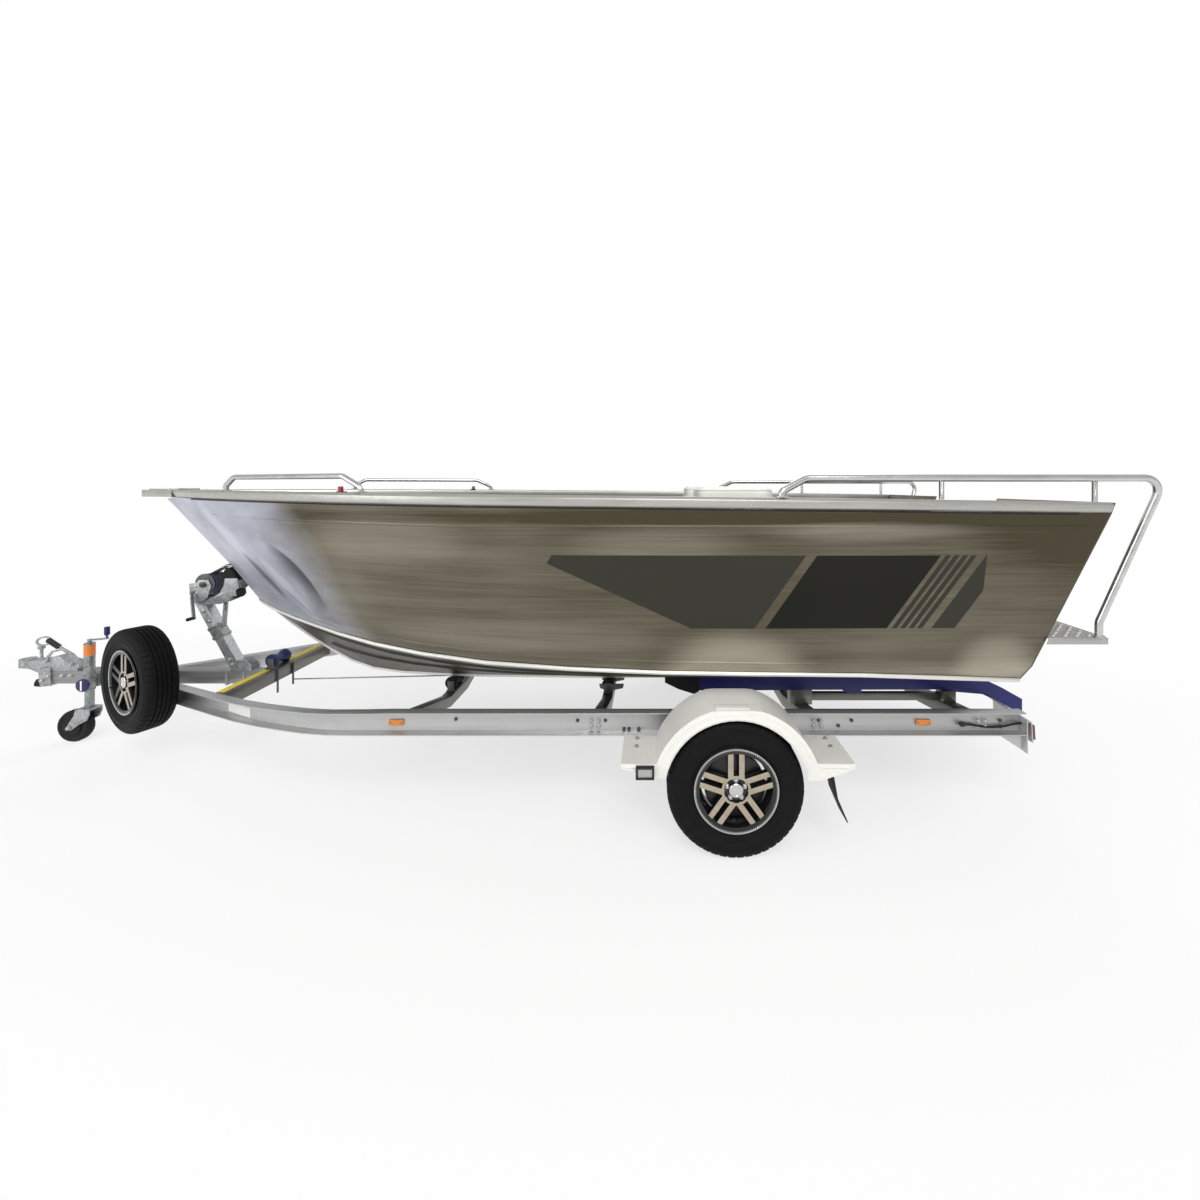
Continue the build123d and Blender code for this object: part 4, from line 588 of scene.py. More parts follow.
class Shape:
    """Mesh of one piece under construction, in the boat's own frame."""

    def __init__(self):
        self.bm = bmesh.new()

    def skin(self, rows, loop=True, ends=True):
        """Skin over rows of points; loop closes each row and ends caps the first and last."""
        grid = [[self.bm.verts.new(p) for p in row] for row in rows]
        count = len(grid[0])
        for a, b in zip(grid, grid[1:]):
            for i in range(count if loop else count - 1):
                j = (i + 1) % count
                self.bm.faces.new((a[i], a[j], b[j], b[i]))
        if ends:
            self.bm.faces.new(grid[0][::-1])
            self.bm.faces.new(grid[-1])

    def box(self, a, b):
        """Box between two opposite corners."""
        lo, hi = [[pick(pair) for pair in zip(a, b)] for pick in (min, max)]
        self.skin([[(lo[0], lo[1], z), (hi[0], lo[1], z), (hi[0], hi[1], z), (lo[0], hi[1], z)]
                   for z in (lo[2], hi[2])])

    def plate(self, outline, at, u, v, thick):
        """Outline in the plane of u and v through the point, thickened along their normal."""
        at, u, v = Vector(at), Vector(u), Vector(v)
        w = u.cross(v).normalized() * thick
        self.skin([[at + u * a + v * b + w * k for a, b in outline] for k in (0, 1)])

    def turned(self, profile, at, axis, count=48, ring=False):
        """Profile of radius and place along the axis, turned; ring closes the profile."""
        u, v, w = frame_of(axis)
        at = Vector(at)
        rows = [[at + w * t + u * a + v * b for a, b in circle(max(r, 1e-5), count)]
                for r, t in profile]
        self.skin(rows + [rows[0]] if ring else rows, ends=not ring)

    def tube(self, points, radius, count=12):
        """Round bar along the points; radius may be one number or one per point."""
        points = [Vector(p) for p in points]
        radii = radius if isinstance(radius, (list, tuple)) else [radius] * len(points)
        rows, side = [], None
        for i, p in enumerate(points):
            w = (points[min(i + 1, len(points) - 1)] - points[max(i - 1, 0)]).normalized()
            side = frame_of(w)[0] if side is None else (side - w * side.dot(w)).normalized()
            up = w.cross(side)
            rows.append([p + side * a + up * b for a, b in circle(radii[i], count)])
        self.skin(rows)

    def nut(self, at, axis, across, stud=True):
        """Hexagon head on a washer, with the end of its thread."""
        r, high = across / math.sqrt(3.0), across * 0.55
        self.turned([(r * 1.22, 0.0), (r * 1.22, high * 0.16), (r * 1.12, high * 0.20)], at, axis,
                    20)
        self.turned([(r, high * 0.20), (r, high * 0.92), (r * 0.84, high * 1.06)], at, axis, 6)
        if stud:
            self.turned([(r * 0.50, high), (r * 0.50, high * 1.32), (r * 0.40, high * 1.42)], at,
                        axis, 12)

    def dome(self, at, axis, radius):
        self.turned([(radius, 0.0), (radius * 0.92, radius * 0.24), (radius * 0.62, radius * 0.46),
                     (radius * 0.05, radius * 0.56)], at, axis, 14)

    def bolt(self, hit, across, stud=True):
        """Nut on a point of a surface, if one was met."""
        if hit:
            self.nut(hit[0], hit[1], across, stud)

    def rib(self, hits, wide, high, weld=False):
        """Low rounded rib along the points met on a surface; a weld's ripples follow closely."""
        path = [hit for hit in hits if hit]
        outline, sink = (BEAD_OUTLINE, 0.0003) if weld else (RIB_OUTLINE, 0.0004)
        rows = []
        for i, (p, n) in enumerate(path):
            run = path[min(i + 1, len(path) - 1)][0] - path[max(i - 1, 0)][0]
            swell = 0.80 + 0.28 * abs(math.sin(i * 1.3)) if weld else 1.0
            side = run.cross(n).normalized() * wide * 0.5 * swell
            rows.append([p + side * a + n * (high * b * swell - sink) for a, b in outline])
        self.skin(rows)

    def done(self, name, body, materials, slot, replaces=(), mods=(), smooth=32.0):
        """The finished piece, riding on its body."""
        bmesh.ops.remove_doubles(self.bm, verts=self.bm.verts, dist=2e-5)
        bmesh.ops.recalc_face_normals(self.bm, faces=self.bm.faces)
        mesh = bpy.data.meshes.new(name)
        self.bm.to_mesh(mesh)
        self.bm.free()
        return dress(link(name, mesh), body, materials, slot, replaces, mods, smooth)


def link(name, mesh):
    obj = bpy.data.objects.new(name, mesh)
    bpy.context.scene.collection.objects.link(obj)
    return obj


def settle(obj, mods):
    """Apply the modifiers given as type and settings, and keep the plain mesh."""
    for kind, settings in mods:
        mod = obj.modifiers.new(kind.lower(), kind)
        for key, value in settings.items():
            setattr(mod, key, value)
    if obj.modifiers:
        graph = bpy.context.evaluated_depsgraph_get()
        mesh = bpy.data.meshes.new_from_object(obj.evaluated_get(graph))
        obj.modifiers.clear()
        obj.data = mesh
    return obj


def bevel(width, segments=2, angle=30.0):
    return [("BEVEL", {"width": width, "segments": segments, "limit_method": "ANGLE",
                       "angle_limit": math.radians(angle), "use_clamp_overlap": True})]


def dress(obj, body, materials, slot, replaces=(), mods=(), smooth=32.0):
    """Give a piece its finish and body, smooth its shading and hide the nodes it replaces."""
    names = [materials] if isinstance(materials, str) else list(materials)
    for name in names:
        obj.data.materials.append(finish(name))
    settle(obj, mods)
    obj.data.shade_smooth()
    obj.data.set_sharp_from_angle(angle=math.radians(smooth))
    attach(obj, body)
    if replaces:
        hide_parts(*replaces)
    return obj


def body_of_node(node):
    for body, members in frame["record"]["behaviour"]["bodies"].items():
        if node in members:
            return body
    raise RuntimeError("no body holds " + node)


def slot_of_node(node):
    for part in frame["record"]["subparts"]:
        if part["node"] == node:
            return part["material_slot"]
    raise RuntimeError("no slot for " + node)


def skinned(node, materials, width=0.0012, segments=2, angle=30.0, pick=None, flat=True,
            cuts=()):
    """A piece cut from the node's own solid with its edges eased; pick names each face's finish."""
    bm = bmesh.new()
    bm.from_mesh(NODES[node].data)
    bmesh.ops.remove_doubles(bm, verts=bm.verts, dist=2e-5)
    for at, across in cuts:
        bmesh.ops.bisect_plane(bm, geom=bm.verts[:] + bm.edges[:] + bm.faces[:], plane_co=at,
                               plane_no=across)
    if pick:
        for face in bm.faces:
            face.material_index = pick(face.calc_center_median(), face.normal)
    if flat:
        bmesh.ops.dissolve_limit(bm, angle_limit=math.radians(0.6), verts=bm.verts,
                                 edges=bm.edges, delimit={"MATERIAL"})
    mesh = bpy.data.meshes.new(node + "_skin")
    bm.to_mesh(mesh)
    bm.free()
    mods = bevel(width, segments, angle) if width else ()
    return dress(link(node + "_skin", mesh), body_of_node(node), materials, slot_of_node(node),
                 [node], mods)


TREES = {}


def touch(node, start, heading):
    """Where a line from start first meets the node, with the normal that faces the start."""
    if node not in TREES:
        bm = bmesh.new()
        bm.from_mesh(NODES[node].data)
        TREES[node] = BVHTree.FromBMesh(bm)
        bm.free()
    heading = Vector(heading).normalized()
    point, normal, _, _ = TREES[node].ray_cast(Vector(start), heading)
    if point is None:
        return None
    return point, (-normal if normal.dot(heading) > 0 else normal)


def on_node(node, start, heading):
    found = touch(node, start, heading)
    if found is None:
        raise RuntimeError("nothing of %s lies ahead of %s" % (node, tuple(start)))
    return found


def beside(node, x, z, side):
    """Where the node's outer face stands on one side."""
    return touch(node, (x, 3.0 * side, z), (0, -side, 0))


def over(node, x, y):
    """Where the node's top stands."""
    return touch(node, (x, y, 2.0), (0, 0, -1))


def lower_edge(node, x, side, low, high, halvings):
    """Height of the node's lower edge at x, between low and high."""
    for _ in range(halvings):
        mid = (low + high) / 2
        hit = beside(node, x, mid, side)
        low, high = (low, mid) if hit and hit[0].y * side > 0 else (mid, high)
    return high


def corners(node):
    return [Vector(corner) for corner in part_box(node)]


def islands(node):
    """Lowest and highest corner of each separate solid of a node."""
    bm = bmesh.new()
    bm.from_mesh(NODES[node].data)
    bmesh.ops.remove_doubles(bm, verts=bm.verts, dist=2e-5)
    left, found = set(bm.verts), []
    while left:
        stack, part = [left.pop()], []
        while stack:
            vert = stack.pop()
            part.append(vert.co.copy())
            for edge in vert.link_edges:
                other = edge.other_vert(vert)
                if other in left:
                    left.remove(other)
                    stack.append(other)
        found.append((Vector([min(c[i] for c in part) for i in range(3)]),
                      Vector([max(c[i] for c in part) for i in range(3)])))
    bm.free()
    return sorted(found, key=lambda box: tuple(box[0]))


def span(a, b, count):
    return [a + (b - a) * i / (count - 1) for i in range(count)]


def curve_through(points, count):
    """Even run of points on the smooth line through the given ones."""
    pts = [Vector(p) for p in points]
    pts = [pts[0] * 2 - pts[1]] + pts + [pts[-1] * 2 - pts[-2]]
    out = []
    for k in range(count):
        s = k / (count - 1) * (len(pts) - 3)
        i = min(int(s), len(pts) - 4)
        t = s - i
        a, b, c, d = pts[i:i + 4]
        out.append((b * 2 + (c - a) * t + (a * 2 - b * 5 + c * 4 - d) * t * t
                    + (b * 3 - a - c * 3 + d) * t * t * t) * 0.5)
    return out


# ------------------------------------------------------------------ operators
class Piece:
    """One group of pieces; skins lists those that only need their edges eased."""
    bl_options = {"REGISTER", "UNDO"}
    skins = ()

    def execute(self, context):
        for skin in self.skins:
            skinned(*skin)
        self.build(context)
        return {"FINISHED"}


BEAD_HEIGHT = 0.34          # of a weld bead, over its width


class BOAT_OT_hull(Piece, bpy.types.Operator):
    """Hull plates with their swages, welds, keel bar, extrusions and transom"""
    bl_idname = "boat.hull"
    bl_label = "Hull"
    skins = (("bottom_plates", "bottom_plate", 0.0), ("transom", "plain_plate", 0.001),
             ("keel_and_stem", "chine", 0.002, 3), ("chine_extrusions", "chine", 0.002, 3),
             ("gunwales", "extrusion", 0.0015), ("bow_platform", "extrusion", 0.002, 3))

    def build(self, context):
        for word, side in SIDES:
            plate = "side_" + word
            skinned(plate, ("side_plate", "plain_plate"), 0.0,
                    pick=lambda c, n: 0 if n.y * c.y > 0 else 1)
            swage = Shape()
            swage.rib([beside(plate, x, 1.352 + 0.012 * max(0.0, x), side)
                       for x in span(-2.66, 1.42, 90)], 0.012, 0.0028)
            swage.rib([beside(plate, x, lower_edge(plate, x, side, 0.35, 1.30, 12) + 0.062, side)
                       for x in span(-2.40, 0.86, 70)], 0.012, 0.0028)
            swage.done("swages_" + word, ROOT, "side_plate", "hull_plate", smooth=40.0)
            # dark rubber bead just beneath the gunwale's lower edge: a dark strip that stands in
            # for the shadow line under the gunwale
            shadow_line = Shape()
            shadow_line.rib([beside(plate, x, lower_edge("gunwales", x, side, 1.34, 1.47, 10) - 0.004,
                             side) for x in span(-2.62, 1.60, 120)], 0.007, 0.0022)
            shadow_line.done("gunwale_shadow_line_" + word, ROOT, "rubber", "extrusion")
        self.strakes()
        self.welds()
        self.rivets()

    def strakes(self):
        """Pressed strakes along the bottom plates."""
        strakes = Shape()
        for share in (0.34, 0.66):
            for side in (1, -1):
                run = []
                for x in span(-2.36, 0.95, 60):
                    wide = 0.84 * (1.0 if x < 0 else 1.0 - 0.28 * x * x)
                    run.append(touch("bottom_plates", (x, side * share * wide, 0.0), (0, 0, 1)))
                strakes.rib(run, 0.030, 0.011)
        strakes.done("strakes", ROOT, "bottom_plate", "hull_plate", smooth=40.0)

    def welds(self):
        """Beads where the transom meets the sides and along the keel."""
        wide = bpy.context.scene.boat_studio.bead
        beads = Shape()
        for side in (1, -1):
            run = []
            for z in span(0.70, 1.38, 150):
                aft = -2.40 - (z - 0.40) * 0.385
                run.append(touch("transom", (aft - 0.6, side * (0.86 + (z - 0.66) * 0.20), z),
                                 (1, 0, 0)))
            if sum(map(bool, run)) > 2:
                beads.rib(run, wide * 1.6, wide * 1.6 * BEAD_HEIGHT, weld=True)
            beads.rib([touch("bottom_plates", (x, side * 0.016, 0.0), (0, 0, 1))
                       for x in span(-2.30, 0.60, 420)], wide * 1.3, wide * 1.3 * BEAD_HEIGHT,
                      weld=True)
        beads.done("hull_welds", ROOT, "steel", "hull_plate", smooth=60.0)

    def rivets(self):
        """Fixings of the bow slab and the gunwale joints."""
        heads = Shape()
        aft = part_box("bow_platform")[0][0]
        hits = [over("bow_platform", aft + dx, side * (0.185 - dx * 0.55))
                for dx in (0.03, 0.11, 0.20) for side in (1, -1)]
        for hit in hits:
            if hit:
                heads.dome(hit[0], hit[1], 0.0055)
        for x in span(-2.60, 1.70, 30):
            for side in (1, -1):
                hit = beside("gunwales", x, 1.44, side)
                if hit and abs(hit[1].z) < 0.4:
                    heads.dome(hit[0], hit[1], 0.0034)
        heads.done("hull_rivets", ROOT, "steel", "extrusion")


class BOAT_OT_decks(Piece, bpy.types.Operator):
    """Floor, decks, hatch lid and boarding platforms"""
    bl_idname = "boat.decks"
    bl_label = "Decks"
    skins = (("boarding_platforms", "tread_plate", 0.0015),)

    def build(self, context):
        for node in ("cockpit_floor", "fore_deck", "rear_deck", "hatch_lid"):
            skinned(node, ("deck", "plain_plate"), 0.0008,
                    pick=lambda c, n: 0 if n.z > 0.5 else 1)
        self.tread()
        self.latch()
        self.ribs()

    def tread(self):
        """Raised bars of the chequer plate, in alternate directions."""
        bars = Shape()
        pitch, reach = 0.026, 0.011
        for lo, hi in islands("boarding_platforms"):
            nx, ny = int((hi.x - lo.x) / pitch), int((hi.y - lo.y) / pitch)
            for i in range(nx + 1):
                for j in range(ny + 1):
                    x, y = lo.x + pitch * (i + 0.3), lo.y + pitch * (j + 0.5)
                    hits = [over("boarding_platforms", x + a * reach, y + b * reach)
                            for a, b in ((0, 0), (1, 1), (-1, -1), (1, -1), (-1, 1))]
                    if any(h is None or h[1].z < 0.9 or hi.z - h[0].z > 0.004 for h in hits):
                        continue
                    turn = math.radians(45 if (i + j) % 2 else -45)
                    u = Vector((math.cos(turn), math.sin(turn), 0))
                    v = Vector((-u.y, u.x, 0))
                    z = hits[0][0].z - 0.0003
                    bars.skin([[Vector((x, y, z + k * 0.0022)) + u * a * (1 - 0.28 * k)
                                + v * b * (1 - 0.4 * k) for a, b in
                                ((-reach, 0), (-0.004, -0.0028), (0.004, -0.0028), (reach, 0),
                                 (0.004, 0.0028), (-0.004, 0.0028))] for k in (0, 1)])
        bars.done("tread_bars", ROOT, "tread_plate", "tread_plate")

    def latch(self):
        """Flush ring latch and edge screws of the hatch lid."""
        lo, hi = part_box("hatch_lid")
        x = lo[0] + 0.055
        top = over("hatch_lid", x, 0)[0].z
        latch = Shape()
        latch.turned([(0.034, 0), (0.034, 0.003), (0.030, 0.0042), (0.026, 0.0030),
                      (0.024, 0.0012)], (x, 0, top), (0, 0, 1), 40)
        ring = [(x + a, b, top + 0.0042) for a, b in circle(0.018, 28)]
        latch.tube(ring + ring[:2], 0.0022, 8)
        for cx in (lo[0] + 0.02, hi[0] - 0.05):
            for cy in span(-0.18, 0.18, 4):
                latch.dome((cx, cy, top), (0, 0, 1), 0.0042)
        latch.done("hatch_latch", "hatch_lid", "steel", "hull_plate")

    def ribs(self):
        """Folded frames up the inside of the hull sides."""
        frames = Shape()
        for x in (-1.86, -1.42, -0.98, -0.54, -0.10, 0.34):
            for word, side in SIDES:
                run = [touch("side_" + word, (x, 0.0, z), (0, side, 0))
                       for z in span(0.80, 1.36, 9)]
                run = [hit for hit in run if hit]
                if len(run) > 2:
                    frames.skin([[p + n.cross((0, 0, 1)).normalized() * a + n * b for a, b in
                                  ((-0.024, -0.0003), (-0.020, 0.020), (0.020, 0.020),
                                   (0.024, -0.0003))] for p, n in run])
        frames.done("side_frames", ROOT, "plain_plate", "hull_plate", mods=bevel(0.002))


PAD_VOXEL, PAD_SHRINK, PAD_SWELL = 0.009, 0.965, 0.012
WELTS = (0.22, 0.80)                    # heights of the welts over the height of a pad
PADS = (("seat_cushion_", "seat_pad_", (-0.52, 0.0, 0.52)),
        ("seat_back_", "back_pad_", (-0.42, 0.42)))


def cushion(node, name, channels):
    """Foam pad in vinyl: swollen from its solid, then sewn along its channels."""
    scene = bpy.context.scene
    lo, hi = corners(node)
    mid, half = (lo + hi) / 2, (hi - lo) / 2
    obj = link(name, NODES[node].data.copy())
    for vert in obj.data.vertices:
        d = vert.co - mid
        vert.co = mid + Vector((d.x * PAD_SHRINK, d.y * PAD_SHRINK, d.z * (PAD_SHRINK - 0.04)))
    settle(obj, [("REMESH", {"mode": "VOXEL", "voxel_size": PAD_VOXEL})])
    rest = [v.co.copy() for v in obj.data.vertices]
    mod = obj.modifiers.new("swell", "CLOTH")
    mod.settings.use_pressure = True
    mod.settings.uniform_pressure_force = 4.0
    mod.settings.effector_weights.gravity = 0.0
    for step in range(1, 19):
        scene.frame_set(step)
    settle(obj, [])
    scene.frame_set(1)
    for vert, start in zip(obj.data.vertices, rest):
        move = vert.co - start
        if move.length > PAD_SWELL:
            vert.co = start + move.normalized() * PAD_SWELL
        d = vert.co - mid
        u, v = d.x / half.x, d.y / half.y
        crown = max(0.0, 1 - u * u) * max(0.0, 1 - v * v)
        if d.z > 0:
            vert.co.z += 0.007 * crown - 0.004
            for at in channels:
                gap = abs(d.y - at * half.y) / 0.011
                if gap < 1.0 and abs(u) < 0.93:
                    vert.co.z -= 0.0075 * (1 - gap) ** 0.6
        else:
            vert.co.z = max(vert.co.z, lo.z)
        for k in range(3):
            vert.co[k] = min(max(vert.co[k], lo[k] - 0.001), hi[k] + 0.001)
    settle(obj, [("SUBSURF", {"levels": 1, "render_levels": 1})])
    dress(obj, body_of_node(node), "vinyl", slot_of_node(node), [node], smooth=70.0)
    return obj


def piping(node, pad):
    """Welting round a cushion, laid on the finished pad."""
    bm = bmesh.new()
    bm.from_mesh(pad.data)
    tree = BVHTree.FromBMesh(bm)
    bm.free()
    lo, hi = corners(node)
    welt = Shape()
    for share in WELTS:
        mid = (lo + hi) / 2
        mid.z = lo.z + (hi.z - lo.z) * share
        loop = []
        for a, b in circle(1.0, 96):
            hit = tree.ray_cast(mid + Vector((a, b, 0)), Vector((-a, -b, 0)))[0]
            if hit:
                loop.append(hit + (hit - mid).normalized() * 0.0008)
        welt.tube(loop + loop[:2], 0.0030, 8)
    welt.done(pad.name + "_welt", body_of_node(node), "vinyl", "vinyl", smooth=80.0)


class BOAT_OT_seats(Piece, bpy.types.Operator):
    """Folding pedestal seats with their padded cushions"""
    bl_idname = "boat.seats"
    bl_label = "Seats"
    skins = (("pedestals", "drawbar", 0.002),)

    def build(self, context):
        for word, _ in SIDES:
            skinned("seat_pan_" + word, "black", 0.002)
            for node, name, channels in PADS:
                piping(node + word, cushion(node + word, name + word, channels))
        self.bases()

    def bases(self):
        bolts = Shape()
        for x in (-1.345, -1.195):
            for y in (0.376, 0.524, -0.376, -0.524):
                hit = over("pedestals", x, y)
                if hit and hit[0].z < 0.80:
                    bolts.nut(hit[0], (0, 0, 1), 0.013, stud=False)
        bolts.done("pedestal_bolts", ROOT, "steel", "rail_channel")


class BOAT_OT_fittings(Piece, bpy.types.Operator):
    """Handrails with their base flanges, and the side lamps"""
    bl_idname = "boat.fittings"
    bl_label = "Fittings"
    skins = (("handrails", "polished", 0.0),)

    def build(self, context):
        skinned("nav_lamps", ("nav_red", "green"), 0.002,
                pick=lambda c, n: 0 if c.y > 0 else 1)
        feet = Shape()
        lo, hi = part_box("nav_lamps")
        for side in (1, -1):
            feet.box((lo[0] - 0.006, side * (hi[1] - 0.030), lo[2] - 0.001),
                     (hi[0] + 0.006, side * (hi[1] - 0.004), lo[2] + 0.004))
        feet.done("lamp_bases", ROOT, "black", "black_moulding", mods=bevel(0.001))


def wheel_frame(node, radius, half):
    """Centre and outboard axis of a wheel, from the box of its tyre."""
    lo, hi = corners(node)
    ex, ey = (hi.x - lo.x) / 2, (hi.y - lo.y) / 2
    total, gap = (ex + ey) / (radius + half), (ex - ey) / (radius - half)
    c, s = (total + gap) / 2, (total - gap) / 2
    mid = (lo + hi) / 2
    side = 1.0 if mid.y > 0 else -1.0
    return mid, Vector((s if s > 0.02 else 0.0, c * side, 0)).normalized()


SIDEWALL = ((0.1600, 0.0480), (0.1640, 0.0565), (0.1690, 0.0615), (0.1725, 0.0640),
            (0.1755, 0.0640), (0.1790, 0.0622), (0.1900, 0.0672), (0.2030, 0.0712),
            (0.2140, 0.0732), (0.2155, 0.0747), (0.2185, 0.0749), (0.2205, 0.0738),
            (0.2330, 0.0740), (0.2450, 0.0727), (0.2462, 0.0738), (0.2480, 0.0736),
            (0.2495, 0.0718), (0.2590, 0.0698), (0.2650, 0.0676), (0.2705, 0.0642),
            (0.2755, 0.0592), (0.2788, 0.0530), (0.2805, 0.0465))
RIBS = ((0.0400, 0.0), (0.0330, 0.0), (0.0320, 1.0), (0.0260, 1.0), (0.0250, 0.0),
        (0.0190, 0.0), (0.0130, 0.0), (0.0120, 1.0), (0.0060, 1.0), (0.0050, 0.0), (0.0, 0.0))
WHEEL_R, WHEEL_HALF = 0.282, 0.075


class BOAT_OT_wheels(Piece, bpy.types.Operator):
    """Road wheels and the spare: tyres with their tread, and alloy rims"""
    bl_idname = "boat.wheels"
    bl_label = "Wheels"

    def build(self, context):
        for node, rim in (("tyre_port", "rim_port"), ("tyre_starboard", "rim_starboard"),
                          ("spare_tyre", "spare_rim")):
            at, axis = wheel_frame(node, WHEEL_R, WHEEL_HALF)
            self.tyre(node, at, axis, context.scene.boat_studio.tread)
            self.rim(rim, at, axis)

    def tyre(self, node, at, axis, deep):
        u, v, w = frame_of(axis)
        half = list(SIDEWALL) + [(WHEEL_R - 0.0004 - deep * low, y) for y, low in RIBS]
        profile = half + [(r, -y) for r, y in half[-2::-1]]
        turns = 336
        rows = []
        for i in range(turns):
            a = math.tau * i / turns
            c, s = math.cos(a), math.sin(a)
            row = []
            for r, y in profile:
                wide, phase = abs(y), i % 7
                if 0.036 < wide < 0.0690 and r > 0.2640 and phase == 0:
                    r -= 0.0042
                elif 0.0125 < wide < 0.0255 and phase == (3 if y > 0 else 5) and r > 0.279:
                    r -= 0.0036
                elif wide < 0.0055 and phase == 1 and i % 2 and r > 0.279:
                    r -= 0.0030
                elif 0.2500 < r < 0.2640 and i % 4 < 2:
                    y += math.copysign(0.0005, y)
                row.append(at + (u * c + v * s) * r + w * y)
            rows.append(row)
        tyre = Shape()
        tyre.skin(rows + [rows[0]], loop=True, ends=False)
        tyre.done(node + "_tread", body_of_node(node), "tyre", "tyre_rubber", [node], smooth=38.0)

    def rim(self, node, at, axis):
        def pick(c, n):
            d = c - at
            out = d.dot(axis)
            r = (d - axis * out).length
            if n.dot(axis) < 0.80:
                return 0
            if r > 0.1675 and out > 0.062:
                return 2
            if out > 0.0625 and r < 0.150:
                return 2 if r < 0.030 else 1
            return 0
        skinned(node, ("rim_black", "spoke", "polished"), 0.0022, angle=40.0, pick=pick)
        body = body_of_node(node)
        u, v, w = frame_of(axis)
        bits = Shape()
        for k in range(5):
            a = math.tau * (k + 0.5) / 5 + math.pi / 2
            place = at + (u * math.cos(a) + v * math.sin(a)) * 0.0385 + w * 0.0524
            bits.nut(place, w, 0.015, stud=False)
        bits.done(node + "_nuts", body, "steel", "wheel_alloy")
        cap = Shape()
        cap.turned([(0.0285, 0.0600), (0.0285, 0.0655), (0.0265, 0.0672), (0.0190, 0.0680),
                    (0.0180, 0.0672), (0.0100, 0.0678), (0.0002, 0.0682)], at, w, 48)
        cap.done(node + "_cap", body, "polished", "wheel_alloy")
        valve = Shape()
        a = math.radians(20)
        out = u * math.cos(a) + v * math.sin(a)
        foot = at + out * 0.148 + w * 0.050
        valve.tube([foot, foot + w * 0.012 - out * 0.004, foot + w * 0.026 - out * 0.012],
                   0.0042, 12)
        valve.done(node + "_valve", body, "rubber", "black_rubber")


WHEEL_X, WHEEL_Z = -1.208, 0.282        # middle of the road wheels, seen from the side
ARCH_RADIUS = 0.292                     # of the opening round them


class BOAT_OT_mudguards(Piece, bpy.types.Operator):
    """Moulded mudguards with their ridges, pads and rolled edges"""
    bl_idname = "boat.mudguards"
    bl_label = "Mudguards"
    skins = (("guard_stays", "zinc", 0.001), ("mudflaps", "rubber", 0.001))

    def build(self, context):
        for word, side in SIDES:
            node = "mudguard_" + word
            skinned(node, "guard", 0.0, flat=False)
            lo, hi = corners(node)
            face = hi.y if side > 0 else lo.y
            lip = Shape()
            lip.rib(self.arch(face, side, ARCH_RADIUS + 0.009, span(14, 166, 90)), 0.014, 0.0045)
            lip.rib([p for p in self.arch(face, side, ARCH_RADIUS + 0.036, span(24, 156, 80))
                     if p[0].z < hi.z - 0.008], 0.006, 0.0022)
            lip.done(node + "_lip", ROOT, "guard", "white_moulding", smooth=60.0)
            y = side * (abs(face) - 0.055)
            top = over(node, WHEEL_X + 0.02, y)[0].z
            pad = Shape()
            pad.box((WHEEL_X - 0.055, y, top - 0.001),
                    (WHEEL_X + 0.085, side * (abs(face) - 0.012), top + 0.0045))
            pad.box((WHEEL_X - 0.055, side * (abs(face) - 0.002), top - 0.034),
                    (WHEEL_X + 0.085, face + side * 0.0030, top - 0.006))
            pad.done(node + "_pad", ROOT, "guard", "white_moulding", mods=bevel(0.003, 3))
            # step along the wings at the level of the lower lip
            step = Shape()
            for fore, aft in ((-0.760, -0.868), (-1.548, -1.660)):
                step.rib([beside(node, x, 0.388, side) for x in span(fore, aft, 12)], 0.010,
                         0.0030)
            step.done(node + "_steps", ROOT, "guard", "white_moulding", smooth=60.0)
        bolts = Shape()
        for word, side in SIDES:
            for x in (-0.800, -1.630):
                for y in (0.86, 0.93):
                    hit = over("mudguard_" + word, x, side * y)
                    if hit and hit[0].z < 0.42:
                        bolts.nut(hit[0], (0, 0, 1), 0.013, stud=False)
        bolts.done("guard_bolts", ROOT, "steel", "galvanised")

    def arch(self, face, side, radius, degrees):
        """Points and normals round the wheel opening on the guard's outer face."""
        return [(Vector((WHEEL_X + radius * math.cos(a), face, WHEEL_Z + radius * math.sin(a))),
                 Vector((0, side, 0))) for a in map(math.radians, degrees)]


FRONT_LAMP_X, MARKER_X, REAR_LAMP_X = 0.327, -0.838, -2.13     # lamps along the rails
SKID_SPLIT = -1.11                      # blue skid fore of this, rubber aft


